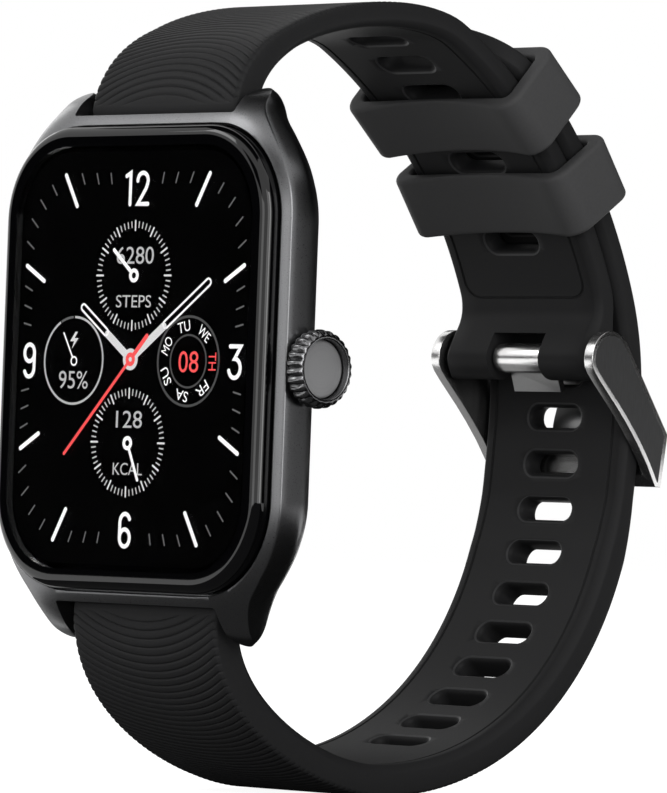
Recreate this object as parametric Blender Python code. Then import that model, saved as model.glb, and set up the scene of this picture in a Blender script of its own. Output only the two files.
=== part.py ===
"""A rectangular smartwatch closed on its silicone strap, as an assembly of separate pieces.

Units are metres. +Z points to twelve o'clock, +X to the crown side and -Y out of the display.
The origin is the centre of the flat sensor face that lies on the wrist.
Outlines are written in millimetre values times MM.
"""

import math

import bmesh
import bpy
import numpy as np

MM = 0.001
ROUND_STEPS = 10

# Case sizes
CASE_WIDTH = 36.5 * MM
CASE_HEIGHT = 42.7 * MM
CASE_DEPTH = 9.9 * MM
SENSOR_RISE = 1.1 * MM
SIDE_WALL = 2.85 * MM
END_WALL = 2.55 * MM
SIDE_DEPTH = 2.0 * MM
CASE_CORNER = 9.4 * MM
RIM_FLAT = 0.1 * MM
RIM_BEVEL_BACK = 0.5 * MM
SIDE_CROWNING = 0.5 * MM
SHOULDER_DROP = 7.35 * MM
SHOULDER_HEADING = 96.0
SHOULDER_REACH = 3.2 * MM
WAIST_OUT = 1.8 * MM
WAIST_DROP = 1.35 * MM
WAIST_HEADING = 131.0
WAIST_REACH_IN = 2.4 * MM
WAIST_REACH_OUT = 1.5 * MM
BACK_TAPER_IN = 5.75 * MM
TAPER_START = 80.0
TAPER_START_REACH = 1.6 * MM
TAPER_END = 32.0
TAPER_END_REACH = 2.0 * MM
CAVITY_DEPTH = 4.1 * MM
BACK_CORNER = 5.0 * MM
BACK_MARGIN = 0.9 * MM
BACK_THICKNESS = 1.55 * MM
BACK_LEDGE = 1.7 * MM
BACK_LEDGE_CORNER = 6.5 * MM

# Lug and spring bar sizes
STRAP_LUG_WIDTH = 19.8 * MM
LUG_CLEARANCE = 0.35 * MM
LUG_WIDTH = 2.15 * MM
LUG_BEYOND_BAR = 1.65 * MM
LUG_TIP_CORNER = 0.9 * MM
LUG_FRONT_POWER = 1.2
LUG_BACK_POWER = 2.0
LUG_BACK_DEPTH = 2.3 * MM
LUG_SIDE_HEADING = 92.0
LUG_SIDE_REACH = 1.4 * MM
BAR_BEYOND_RIM = 0.65 * MM
BAR_BEHIND_GLASS = 4.8 * MM
SLEEVE_RADIUS = 0.8 * MM
SLEEVE_BORE = 0.55 * MM
SLEEVE_END_WALL = 1.0 * MM
PIN_RADIUS = 0.42 * MM
PIN_REACH = 1.1 * MM
PIN_LENGTH = 9.0 * MM
PIN_TRAVEL = 1.4 * MM
RELEASE_KNOB_RADIUS = 0.55 * MM
RELEASE_KNOB_PLACE = 4.6 * MM
RELEASE_KNOB_REACH = 2.5 * MM
RUNNING_GAP = 0.08 * MM
SPRING_WIRE = 0.11 * MM
SPRING_TURNS = 7

# Glass and display sizes
RIM_SIDE = 1.3 * MM
RIM_END = 0.95 * MM
GLASS_PROUD = 1.5 * MM
GLASS_SEATED = 0.4 * MM
GLASS_CORNER = 7.5 * MM
GLASS_WALL = 1.75 * MM
GLASS_FACE = 0.65 * MM
GLASS_ROUND_IN = 1.4 * MM
GLASS_ROUND_DEPTH = 1.2 * MM
GLASS_GAP = 0.25 * MM
SEAL_THICKNESS = 0.2 * MM
SEAL_WIDTH = 0.7 * MM
DISPLAY_THICKNESS = 1.1 * MM
LAYER_GAP = 0.05 * MM
FIT_GAP = 0.15 * MM
CLEARANCE = 0.3 * MM

# Sizes of what is inside
BRACKET_GAP = 0.75 * MM
BRACKET_THICKNESS = 0.6 * MM
BOARD_THICKNESS = 0.8 * MM
BOARD_GAP = 0.1 * MM
NOTCH_WIDTH = 7.6 * MM
BATTERY_SIDE_MARGIN = 1.9 * MM
BATTERY_END_MARGIN = 2.5 * MM
BATTERY_CORNER = 1.0 * MM
BATTERY_GAP = 0.2 * MM
MOTOR_END_MARGIN = 1.1 * MM
MOTOR_RADIUS = 1.6 * MM
MOTOR_LENGTH = 9.0 * MM
SPEAKER_WIDTH = 4.6 * MM
SPEAKER_HEIGHT = 8.0 * MM
SPEAKER_THICKNESS = 1.5 * MM
SPEAKER_Z = 8.0 * MM
SPEAKER_PORT = 5.0 * MM
MICROPHONE_SIZE = 1.8 * MM
MICROPHONE_Z = -6.0 * MM
PORT_WIDTH = 0.8 * MM
SENSOR_RADIUS = 8.4 * MM
SENSOR_LEDGE = 1.0 * MM
SENSOR_SEAT = 0.85 * MM
SENSOR_EDGE_IN = 1.6 * MM
SENSOR_WALL = 0.2 * MM
SENSOR_SHOULDER_IN = 0.65 * MM
SENSOR_SHOULDER_RISE = 0.8 * MM
SENSOR_BOARD_THICKNESS = 0.5 * MM
CONTACT_RADIUS = 1.0 * MM
CONTACT_SPACING = 5.0 * MM
CONTACT_INSET = 2.5 * MM
CONTACT_THICKNESS = 0.9 * MM
SCREW_RADIUS = 0.45 * MM
SCREW_HEAD_RADIUS = 0.8 * MM
SCREW_HEAD = 0.45 * MM
SCREW_LENGTH = 2.6 * MM
SCREW_INSET = 2.85 * MM
DRIVE_WIDTH = 0.72 * MM
DRIVE_DEPTH = 0.32 * MM

# Crown sizes
CROWN_BEHIND_GLASS = 4.4 * MM
CROWN_Z = -0.6 * MM
CROWN_RADIUS = 3.4 * MM
CROWN_LENGTH = 1.7 * MM
CROWN_STANDOFF = 0.45 * MM
CROWN_BACK_IN = 0.2 * MM
CROWN_BACK_LENGTH = 0.3 * MM
CROWN_FACE_IN = 0.35 * MM
CROWN_FACE_LENGTH = 0.6 * MM
CROWN_FLUTES = 26
CROWN_FLUTE_DEPTH = 0.22 * MM
CROWN_CAP_RADIUS = 2.5 * MM
CROWN_CAP_RECESS = 0.95 * MM
CROWN_CAP_THICKNESS = 0.45 * MM
CROWN_CAP_WALL = 0.3 * MM
CROWN_CAP_EDGE_IN = 0.25 * MM
SHAFT_RADIUS = 0.75 * MM
SHAFT_INSIDE = 3.2 * MM
SHAFT_IN_KNOB = 0.6 * MM
BUSHING_WALL = 0.75 * MM
BUSHING_FLANGE = 1.75 * MM
BUSHING_FLANGE_THICKNESS = 0.6 * MM
CROWN_SEAL_SECTION = 0.45 * MM
CROWN_SEAL_DEPTH = 1.0 * MM
CLIP_RADIUS = 1.4 * MM
CLIP_THICKNESS = 0.3 * MM
CLIP_GROOVE = 0.2 * MM
CLIP_GAP = 0.15 * MM
YOKE_RADIUS = 1.5 * MM
YOKE_PLATE = 0.5 * MM
YOKE_LENGTH = 1.4 * MM
SWITCH_SIZE = 3.0 * MM
SWITCH_THICKNESS = 1.1 * MM
SWITCH_GAP = 0.45 * MM

# Strap loop sizes
OVERLAP_CENTRE_Y = -0.55 * MM
OVERLAP_CENTRE_Z = -7.5 * MM
OVERLAP_RADIUS = 44.1 * MM
OVERLAP_TOP = 62.0
OVERLAP_LOW_UPPER = 22.0
OVERLAP_LOW_TAIL = 20.0
TAIL_TIP_ANGLE = 57.5
STRAP_THICKNESS = 2.2 * MM
LAYER_CLEARANCE = 0.3 * MM
STRAP_NECK_IN = 1.5 * MM
STRAP_MIDDLE_IN = 1.6 * MM
STRAP_TAIL_IN = 1.7 * MM
LUG_RUN = 1.0 * MM
NECK_RUN = 2.4 * MM
MIDDLE_RUN = 14.0 * MM
TAIL_RUN = 40.0 * MM
STRAP_EDGE = 0.45 * MM
STRAP_INNER_EDGE = 0.8 * MM
STRAP_STEP = 2.7 * MM
LUG_BARREL_RADIUS = 1.8 * MM
UPPER_TRANSITION = 9.0 * MM
LOWER_TRANSITION = 26.0 * MM
BARREL_CLEARANCE = 0.35 * MM
UPPER_HEADING = 86.0
UPPER_START_REACH = 9.0 * MM
UPPER_END_REACH = 6.0 * MM
LOWER_HEADING = -95.0
LOWER_START_REACH = 8.5 * MM
LOOP_BOTTOM_Y = 13.2 * MM
LOOP_BOTTOM_Z = -36.2 * MM
BOTTOM_REACH_FRONT = 7.0 * MM
BOTTOM_REACH_BACK = 18.0 * MM
BACK_ANGLE = -2.0
BACK_INSET = 1.57 * MM
BACK_HEADING = 85.0
BACK_REACH_LOW = 14.5 * MM
BACK_REACH_HIGH = 6.3 * MM
TAIL_REACH = 6.2 * MM
TAIL_TIP_LENGTH = 6.0 * MM
TAIL_TIP_BLUNT = 1.06
SLOT_LENGTH = 6.8 * MM
SLOT_WIDTH = 2.5 * MM
SLOT_PITCH = 4.35 * MM
SLOTS_BELOW_PRONG = 10
SLOTS_ABOVE_PRONG = 6
UPPER_SLOTS = 7
UPPER_SLOT_FROM_HEEL = 13.0 * MM

# Buckle and keeper sizes
HEEL_ANGLE = 13.9
HEEL_INSET = 2.5 * MM
HEEL_HEADING = -100.0
HEEL_START_REACH = 2.5 * MM
HEEL_END_REACH = 2.0 * MM
HEEL_BARREL_RADIUS = 2.0 * MM
HEEL_TRANSITION = 4.0 * MM
HEEL_SIDE_GAP = 0.05 * MM
HEEL_PIN_RADIUS = 0.75 * MM
NOTCH_CLEARANCE = 0.3 * MM
PRONG_BARREL_RADIUS = 1.4 * MM
PRONG_BARREL_WIDTH = 6.0 * MM
PRONG_WIDTH = 5.4 * MM
PRONG_THICKNESS = 0.9 * MM
PRONG_DROP = 0.95 * MM
PRONG_SLOPE = -6.0
PRONG_BEND = 1.3 * MM
PRONG_PAST_BAR = 0.9 * MM
PRONG_ROOT_RUN = 0.42 * MM
PRONG_ROOT_DROP = 0.65 * MM
TAB_START_RUN = 1.05 * MM
TAB_START_DROP = 0.65 * MM
TAB_END_RUN = 1.85 * MM
TAB_END_DROP = 2.9 * MM
TAB_THICKNESS = 0.6 * MM
PLATE_THICKNESS = 1.05 * MM
PLATE_GAP = 0.3 * MM
PLATE_EYE_RADIUS = 2.55 * MM
PLATE_EYE_SHIFT = 0.4 * MM
PLATE_EYE_START = 78.0
PLATE_EYE_END = 236.0
PLATE_END_WIDTH = 0.75 * MM
PLATE_EDGE_START = -70.0
PLATE_EDGE_START_REACH = 1.4 * MM
PLATE_EDGE_END = -62.0
PLATE_EDGE_END_REACH = 6.5 * MM
CROSSBAR_THICKNESS = 1.8 * MM
CROSSBAR_TOP = 6.6 * MM
CROSSBAR_HEIGHT = 4.8 * MM
CROSSBAR_LEAN = 0.7 * MM
CROSSBAR_GAP = 0.35 * MM
CROSSBAR_RELIEF = 0.2 * MM
KEEPER_LENGTH = 6.2 * MM
KEEPER_WALL = 1.5 * MM
KEEPER_DEPTH_WALL = 1.4 * MM
KEEPER_BOW = 0.6 * MM
KEEPER_CORNER = 1.9 * MM
KEEPER_INNER_CORNER = 0.7 * MM
KEEPER_FIT = 0.35 * MM
KEEPER_UPPER_ANGLE = 47.5
KEEPER_LOWER_ANGLE = 35.0

# Places worked out from the sizes
BACK_Y = -SENSOR_RISE
GLASS_Y = BACK_Y - CASE_DEPTH
RIM_Y = GLASS_Y + GLASS_PROUD
EDGE_Y = RIM_Y + RIM_BEVEL_BACK
SIDE_END_Y = EDGE_Y + SIDE_DEPTH
GLASS_BACK_Y = RIM_Y + GLASS_SEATED
LEDGE_Y = GLASS_BACK_Y + SEAL_THICKNESS + 2 * LAYER_GAP
CAVITY_Y = LEDGE_Y + CAVITY_DEPTH
PLATE_FRONT_Y = BACK_Y - BACK_THICKNESS
BACK_LEDGE_Y = PLATE_FRONT_Y - SEAL_THICKNESS - 2 * LAYER_GAP
DISPLAY_Y = GLASS_Y + GLASS_FACE + LAYER_GAP
BRACKET_Y = DISPLAY_Y + DISPLAY_THICKNESS + BRACKET_GAP
BOARD_Y = BRACKET_Y + BRACKET_THICKNESS + BOARD_GAP
INSIDE_Y = BOARD_Y + BOARD_THICKNESS + BATTERY_GAP
GLASS_HALF = (CASE_WIDTH / 2 - RIM_SIDE, CASE_HEIGHT / 2 - RIM_END)
CAVITY_HALF = (CASE_WIDTH / 2 - SIDE_WALL, CASE_HEIGHT / 2 - END_WALL)
BACK_INSIDE = BACK_TAPER_IN + BACK_MARGIN
BACK_HALF = (CASE_WIDTH / 2 - BACK_INSIDE, CASE_HEIGHT / 2 - BACK_INSIDE)
INNER_HALF = (BACK_HALF[0] - BACK_LEDGE, BACK_HALF[1] - BACK_LEDGE)
CONTACT_Z = CONTACT_INSET - BACK_HALF[1]
MOTOR_Z = MOTOR_END_MARGIN + MOTOR_RADIUS - INNER_HALF[1]
BATTERY_LOW_Z = MOTOR_Z + MOTOR_RADIUS + BATTERY_GAP
BATTERY_TOP_Z = INNER_HALF[1] - BATTERY_END_MARGIN
STRAP_NECK_WIDTH = STRAP_LUG_WIDTH - STRAP_NECK_IN
STRAP_MIDDLE_WIDTH = STRAP_LUG_WIDTH - STRAP_MIDDLE_IN
STRAP_WIDTH = STRAP_LUG_WIDTH - STRAP_TAIL_IN
HEEL_WIDTH = STRAP_WIDTH - 2 * HEEL_SIDE_GAP
LUG_INNER_X = STRAP_LUG_WIDTH / 2 + LUG_CLEARANCE
LUG_OUTER_X = LUG_INNER_X + LUG_WIDTH
BAR_Y = GLASS_Y + BAR_BEHIND_GLASS
BAR_Z = CASE_HEIGHT / 2 + BAR_BEYOND_RIM
LUG_TIP_Z = BAR_Z + LUG_BEYOND_BAR
CROWN_Y = GLASS_Y + CROWN_BEHIND_GLASS
CROWN_AXIS = (CROWN_Y, CROWN_Z)
CROWN_X = CASE_WIDTH / 2 + CROWN_STANDOFF
FLANGE_X = CAVITY_HALF[0] - LAYER_GAP
SHAFT_END_X = FLANGE_X - SHAFT_INSIDE
YOKE_X = SHAFT_END_X - LAYER_GAP - YOKE_PLATE
SWITCH_X = YOKE_X - SWITCH_GAP - SWITCH_THICKNESS
SENSOR_SEAT_Y = BACK_Y - SENSOR_SEAT
LAYER_OFFSET = (STRAP_THICKNESS + LAYER_CLEARANCE) / 2
UPPER_RADIUS = OVERLAP_RADIUS - LAYER_OFFSET
TAIL_RADIUS = OVERLAP_RADIUS + LAYER_OFFSET
OVERLAP_CENTRE = np.array([OVERLAP_CENTRE_Y, OVERLAP_CENTRE_Z])


def clear_scene():
    """Remove every object that the file opens with."""
    for item in list(bpy.data.objects):
        bpy.data.objects.remove(item, do_unlink=True)


def finish_material(name, colour, roughness, metallic):
    """Return a Principled material with one colour and one finish."""
    material = bpy.data.materials.new(name)
    material.use_nodes = True
    shader = material.node_tree.nodes["Principled BSDF"]
    shader.inputs["Base Color"].default_value = (*colour, 1.0)
    shader.inputs["Roughness"].default_value = roughness
    shader.inputs["Metallic"].default_value = metallic
    return material


FINISHES = {
    "anodised": ((0.035, 0.036, 0.038), 0.38, 0.85),
    "black_plastic": ((0.012, 0.012, 0.013), 0.45, 0.0),
    "glass": ((0.004, 0.004, 0.005), 0.05, 0.0),
    "display": ((0.006, 0.006, 0.007), 0.30, 0.0),
    "silicone": ((0.016, 0.016, 0.017), 0.60, 0.0),
    "keeper_rubber": ((0.042, 0.042, 0.043), 0.65, 0.0),
    "seal_rubber": ((0.010, 0.010, 0.010), 0.80, 0.0),
    "polished_steel": ((0.78, 0.77, 0.76), 0.14, 1.0),
    "steel": ((0.55, 0.55, 0.56), 0.30, 1.0),
    "gold_contact": ((0.80, 0.60, 0.25), 0.25, 1.0),
    "board": ((0.010, 0.080, 0.040), 0.50, 0.0),
    "battery_wrap": ((0.10, 0.10, 0.11), 0.50, 0.2),
}


def place_object(name, mesh, finish, origin=(0.0, 0.0, 0.0), tilt=0.0):
    """Link a mesh as a named object whose origin and tilt about X are given."""
    item = bpy.data.objects.new(name, mesh)
    item.location = origin
    item.rotation_euler = (tilt, 0.0, 0.0)
    bpy.context.scene.collection.objects.link(item)
    if finish:
        mesh.materials.append(finish_material(name + "_finish", *FINISHES[finish]))
    mesh.shade_smooth()
    mesh.set_sharp_from_angle(angle=math.radians(30))
    return item


def close_mesh(name, form):
    """Turn a bmesh into a mesh with its faces pointing out."""
    bmesh.ops.remove_doubles(form, verts=form.verts, dist=1e-8)
    bmesh.ops.recalc_face_normals(form, faces=form.faces)
    mesh = bpy.data.meshes.new(name)
    form.to_mesh(mesh)
    form.free()
    return mesh


def loft(name, rings, finish=None, origin=(0.0, 0.0, 0.0), tilt=0.0, split=False):
    """Skin closed rings of equal point count into one capped body, whose walls can be split into triangles."""
    form = bmesh.new()
    rows = []
    for ring in rings:
        rows.append([form.verts.new(tuple(float(part) for part in point)) for point in ring])
    count = len(rows[0])
    for low, high in zip(rows, rows[1:]):
        for index in range(count):
            following = (index + 1) % count
            form.faces.new((low[index], low[following], high[following], high[index]))
    if split:
        bmesh.ops.triangulate(form, faces=form.faces)
    form.faces.new(rows[0])
    form.faces.new(rows[-1])
    return place_object(name, close_mesh(name, form), finish, origin, tilt)


def prism_y(name, outline, low, high, finish=None):
    """Extrude an X, Z outline along Y."""
    rings = [[(x, level, z) for x, z in outline] for level in (low, high)]
    return loft(name, rings, finish)


def prism_x(name, outline, low, high, finish=None, origin=(0.0, 0.0, 0.0), tilt=0.0):
    """Extrude a Y, Z outline along X."""
    rings = [[(level, y, z) for y, z in outline] for level in (low, high)]
    return loft(name, rings, finish, origin, tilt)


def lathe_x(name, profile, axis, finish=None, segments=24):
    """Spin a closed profile of (x, radius) points about a line along X through axis (y, z)."""
    form = bmesh.new()
    points = [form.verts.new((x, 0.0, radius)) for x, radius in profile]
    edges = [form.edges.new(pair) for pair in zip(points, points[1:] + points[:1])]
    bmesh.ops.spin(
        form,
        geom=points + edges,
        cent=(0.0, 0.0, 0.0),
        axis=(1.0, 0.0, 0.0),
        angle=2 * math.pi,
        steps=segments,
        use_merge=True,
    )
    bmesh.ops.remove_doubles(form, verts=form.verts, dist=1e-7)
    bmesh.ops.dissolve_degenerate(form, edges=form.edges, dist=1e-8)
    loose = [edge for edge in form.edges if not edge.link_faces]
    bmesh.ops.delete(form, geom=loose, context="EDGES")
    return place_object(name, close_mesh(name, form), finish, (0.0, *axis))


def rod_profile(low, high, radius):
    """Return the lathe profile of a plain solid rod."""
    return [(low, 0.0), (low, radius), (high, radius), (high, 0.0)]


def tube_profile(low, high, outer, inner):
    """Return the lathe profile of a plain tube."""
    return [(low, inner), (low, outer), (high, outer), (high, inner)]


def combine(target, tool, operation="DIFFERENCE"):
    """Cut, join or intersect a target with a tool body, which is then only a guide."""
    step = target.modifiers.new(tool.name, "BOOLEAN")
    step.operation = operation
    step.solver = "EXACT"
    step.object = tool
    tool.hide_render = True
    tool.display_type = "WIRE"


def arc_points(centre, radius, start, end, steps):
    """Return points along an arc, its angles in degrees."""
    angles = np.radians(np.linspace(start, end, steps))
    return [(centre[0] + radius * math.cos(a), centre[1] + radius * math.sin(a)) for a in angles]


def circle(centre, radius, segments=24):
    """Return a closed ring of points."""
    return arc_points(centre, radius, 0.0, 360.0 * (segments - 1) / segments, segments)


def rounded_rectangle(half_width, half_height, corner, steps=5):
    """Return a rectangle outline with round corners."""
    points = []
    for quarter, (sign_x, sign_z) in enumerate(((1, 1), (-1, 1), (-1, -1), (1, -1))):
        centre = (sign_x * (half_width - corner), sign_z * (half_height - corner))
        points += arc_points(centre, corner, quarter * 90.0, quarter * 90.0 + 90.0, steps)
    return points


def rectangle(low_a, high_a, low_b, high_b):
    """Return a plain rectangle outline from its limits on two axes."""
    return [(low_a, low_b), (high_a, low_b), (high_a, high_b), (low_a, high_b)]


def curve_span(start, start_heading, start_reach, end, end_heading, end_reach, steps):
    """Return points on a cubic curve between two places with given headings in degrees."""
    first = np.array(start)
    last = np.array(end)
    begin = math.radians(start_heading)
    finish = math.radians(end_heading)
    second = first + start_reach * np.array([math.cos(begin), math.sin(begin)])
    third = last - end_reach * np.array([math.cos(finish), math.sin(finish)])
    t = np.linspace(0.0, 1.0, steps)[:, None]
    u = 1.0 - t
    return first * u**3 + 3 * second * t * u**2 + 3 * third * t**2 * u + last * t**3


def polar(radius, angle):
    """Return the Y, Z place at an angle in degrees about the centre of the strap overlap."""
    turn = math.radians(angle)
    return OVERLAP_CENTRE + radius * np.array([math.cos(turn), math.sin(turn)])


def join_spans(*spans):
    """Join successive point lists that share their end points."""
    return np.vstack([np.array(spans[0])] + [np.array(span)[1:] for span in spans[1:]])


def extend(path, before, after):
    """Lengthen a path straight at both ends."""
    head = path[0] - before * (path[1] - path[0]) / np.linalg.norm(path[1] - path[0])
    tail = path[-1] + after * (path[-1] - path[-2]) / np.linalg.norm(path[-1] - path[-2])
    parts = [path]
    if before > 0:
        parts.insert(0, head[None])
    if after > 0:
        parts.append(tail[None])
    return np.vstack(parts)


def run_lengths(path):
    """Return the distance along a path at each of its points."""
    return np.concatenate([[0.0], np.cumsum(np.linalg.norm(np.diff(path, axis=0), axis=1))])


def place_on(path, distance):
    """Return the place and the unit heading at a distance along a path."""
    runs = run_lengths(path)
    here = np.array([np.interp(distance, runs, path[:, axis]) for axis in (0, 1)])
    step = 0.2 * MM
    ahead = np.array([np.interp(distance + step, runs, path[:, axis]) for axis in (0, 1)])
    behind = np.array([np.interp(distance - step, runs, path[:, axis]) for axis in (0, 1)])
    heading = (ahead - behind) / np.linalg.norm(ahead - behind)
    return here, heading


HEEL = polar(UPPER_RADIUS - HEEL_INSET, HEEL_ANGLE)


def upper_path():
    """Return the mid-line of the upper strap from its spring bar to the heel bar."""
    joint = polar(UPPER_RADIUS, OVERLAP_TOP)
    last = polar(UPPER_RADIUS, OVERLAP_LOW_UPPER)
    rise = curve_span((BAR_Y, BAR_Z), UPPER_HEADING, UPPER_START_REACH,
                      joint, OVERLAP_TOP - 90.0, UPPER_END_REACH, 60)
    bend = arc_points(OVERLAP_CENTRE, UPPER_RADIUS, OVERLAP_TOP, OVERLAP_LOW_UPPER, 60)
    heel = curve_span(last, OVERLAP_LOW_UPPER - 90.0, HEEL_START_REACH,
                      HEEL, HEEL_HEADING, HEEL_END_REACH, 30)
    return extend(join_spans(rise, bend, heel), LUG_BARREL_RADIUS, HEEL_BARREL_RADIUS)


def lower_path():
    """Return the mid-line of the lower strap from its spring bar to the tip of its tail."""
    bottom = (LOOP_BOTTOM_Y, LOOP_BOTTOM_Z)
    back = polar(TAIL_RADIUS - BACK_INSET, BACK_ANGLE)
    joint = polar(TAIL_RADIUS, OVERLAP_LOW_TAIL)
    drop = curve_span((BAR_Y, -BAR_Z), LOWER_HEADING, LOWER_START_REACH,
                      bottom, 0.0, BOTTOM_REACH_FRONT, 60)
    sweep = curve_span(bottom, 0.0, BOTTOM_REACH_BACK, back, BACK_HEADING, BACK_REACH_LOW, 80)
    climb = curve_span(back, BACK_HEADING, BACK_REACH_HIGH,
                       joint, OVERLAP_LOW_TAIL + 90.0, TAIL_REACH, 50)
    tail = arc_points(OVERLAP_CENTRE, TAIL_RADIUS, OVERLAP_LOW_TAIL, TAIL_TIP_ANGLE, 60)
    return extend(join_spans(drop, sweep, climb, tail), LUG_BARREL_RADIUS, 0.0)


UPPER_PATH = upper_path()
LOWER_PATH = lower_path()


def nose_runs(radius):
    """Return the distances of the sections that round off a barrel end."""
    return [radius * (1.0 - math.cos(math.radians(angle))) for angle in (20.0, 40.0, 65.0, 90.0)]


def nose_thickness(distance, radius):
    """Return the thickness of a round barrel end at a distance from its tip."""
    return 2.0 * math.sqrt(max(radius**2 - (radius - distance) ** 2, 0.0))


def strap_body(name, path, outward, runs, width_at, thickness_at, origin):
    """Skin a strap along its mid-line; outward is +1 or -1 for the side that faces out."""
    rings = []
    for run in runs:
        here, heading = place_on(path, run)
        normal = outward * np.array([-heading[1], heading[0]])
        half = width_at(run) / 2
        deep = thickness_at(run) / 2
        edge = min(STRAP_EDGE, 0.6 * deep)
        inner = min(STRAP_INNER_EDGE, 0.6 * deep)
        corners = [(half - inner, -deep), (half, inner - deep), (half, deep - edge), (half - edge, deep)]
        corners += [(-x, offset) for x, offset in reversed(corners)]
        ring = []
        for x, offset in corners:
            y, z = here + normal * offset
            ring.append((x - origin[0], y - origin[1], z - origin[2]))
        rings.append(ring)
    return loft(name, rings, "silicone", origin)


def even_runs(first, last):
    """Return section distances between two runs, spaced by the strap step."""
    count = max(2, round((last - first) / STRAP_STEP))
    return list(np.linspace(first, last, count + 1))[1:-1]


def slot_cutter(name, path, runs):
    """Return one guide body with a stadium-shaped block across the strap at each run."""
    form = bmesh.new()
    reach = 2.0 * STRAP_THICKNESS
    straight = (SLOT_LENGTH - SLOT_WIDTH) / 2
    outline = arc_points((straight, 0.0), SLOT_WIDTH / 2, -90.0, 90.0, 6)
    outline += arc_points((-straight, 0.0), SLOT_WIDTH / 2, 90.0, 270.0, 6)
    for run in runs:
        here, heading = place_on(path, run)
        normal = np.array([-heading[1], heading[0]])
        rows = []
        for level in (-reach / 2, reach / 2):
            row = []
            for x, along in outline:
                y, z = here + heading * along + normal * level
                row.append(form.verts.new((x, y, z)))
            rows.append(row)
        for index in range(len(outline)):
            following = (index + 1) % len(outline)
            form.faces.new((rows[0][index], rows[0][following], rows[1][following], rows[1][index]))
        form.faces.new(rows[0])
        form.faces.new(rows[1])
    return place_object(name, close_mesh(name, form), None)


def prong_crossing():
    """Return how far along the lower strap the prong passes through it."""
    target = HEEL[1] - PRONG_DROP
    runs = run_lengths(LOWER_PATH)
    rising = LOWER_PATH[:, 0] > 0.5 * (HEEL[0] + LOOP_BOTTOM_Y)
    return float(np.interp(target, LOWER_PATH[rising, 1], runs[rising]))


PRONG_RUN = prong_crossing()


def strap_outer_y(z):
    """Return the Y of the lower strap's outer face beside the buckle at a height."""
    rising = LOWER_PATH[:, 0] > 0.5 * (HEEL[0] + LOOP_BOTTOM_Y)
    return float(np.interp(z, LOWER_PATH[rising, 1], LOWER_PATH[rising, 0])) + STRAP_THICKNESS / 2


CROSSBAR_TOP_Z = HEEL[1] - CROSSBAR_TOP
CROSSBAR_LOW_Z = CROSSBAR_TOP_Z - CROSSBAR_HEIGHT
CROSSBAR_IN_TOP = strap_outer_y(CROSSBAR_TOP_Z) + CROSSBAR_GAP
CROSSBAR_IN_LOW = strap_outer_y(CROSSBAR_LOW_Z) + CROSSBAR_GAP
CROSSBAR_OUT_Y = CROSSBAR_IN_TOP + CROSSBAR_THICKNESS
PRONG_OUTSIDE_Y = CROSSBAR_OUT_Y - PRONG_THICKNESS / 2
CROSSBAR_FLAT_Y = CROSSBAR_OUT_Y - PRONG_THICKNESS - FIT_GAP


def corner_rays():
    """Return how far a case corner reaches into its lug, as pairs of a direction and a reach."""
    centre = (CASE_WIDTH / 2 - CASE_CORNER, CASE_HEIGHT / 2 - CASE_CORNER)
    shoulder = (CASE_WIDTH / 2 - SIDE_CROWNING, CASE_HEIGHT / 2 - SHOULDER_DROP)
    waist = (LUG_OUTER_X + WAIST_OUT, CASE_HEIGHT / 2 - WAIST_DROP)
    lug_side = (LUG_OUTER_X, LUG_TIP_Z - LUG_TIP_CORNER)
    corner = curve_span(shoulder, SHOULDER_HEADING, SHOULDER_REACH,
                        waist, WAIST_HEADING, WAIST_REACH_IN, ROUND_STEPS)
    hollow = curve_span(waist, WAIST_HEADING, WAIST_REACH_OUT,
                        lug_side, LUG_SIDE_HEADING, LUG_SIDE_REACH, ROUND_STEPS)
    tip = (LUG_OUTER_X - LUG_TIP_CORNER, LUG_TIP_Z - LUG_TIP_CORNER)
    outline = list(join_spans(corner, hollow)) + arc_points(tip, LUG_TIP_CORNER, 0.0, 90.0, 6)[1:]
    first = math.atan2(shoulder[1] - centre[1], shoulder[0] - centre[0])
    rays = [(0.0, 0.0), (first / 3, 0.0), (2 * first / 3, 0.0)]
    for x, z in outline:
        reach = math.hypot(x - centre[0], z - centre[1]) - CASE_CORNER
        rays.append((math.atan2(z - centre[1], x - centre[0]), max(reach, 0.0)))
    return rays + [(math.pi / 2, LUG_TIP_Z - CASE_HEIGHT / 2)]


def lug_share(level):
    """Return how much of the lugs' length shows at a Y level, from 0 to 1."""
    if level < BAR_Y:
        share = (BAR_Y - level) / (BAR_Y - RIM_Y)
        return max(0.0, 1.0 - share**LUG_FRONT_POWER)
    share = (level - BAR_Y) / LUG_BACK_DEPTH
    return max(0.0, 1.0 - share**LUG_BACK_POWER)


def case_levels():
    """Return the Y levels behind the rim with how far each is inset from the widest outline."""
    taper = curve_span((0.0, SIDE_END_Y), TAPER_START, TAPER_START_REACH,
                       (BACK_TAPER_IN, BACK_Y), TAPER_END, TAPER_END_REACH, 12)
    side = [(level, 0.0) for level in np.linspace(EDGE_Y, SIDE_END_Y, 5)[:-1]]
    return side + [(level, inset) for inset, level in taper]


def rounded_reach(centre, turn, half, corner):
    """Return how far a ray runs from a place inside a rounded rectangle until it leaves it."""
    low = 0.0
    high = half[0] + half[1]
    for _ in range(50):
        reach = (low + high) / 2
        x = centre[0] + reach * math.cos(turn) - half[0] + corner
        z = centre[1] + reach * math.sin(turn) - half[1] + corner
        if math.hypot(max(x, 0.0), max(z, 0.0)) > corner:
            high = reach
        else:
            low = reach
    return low


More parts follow.
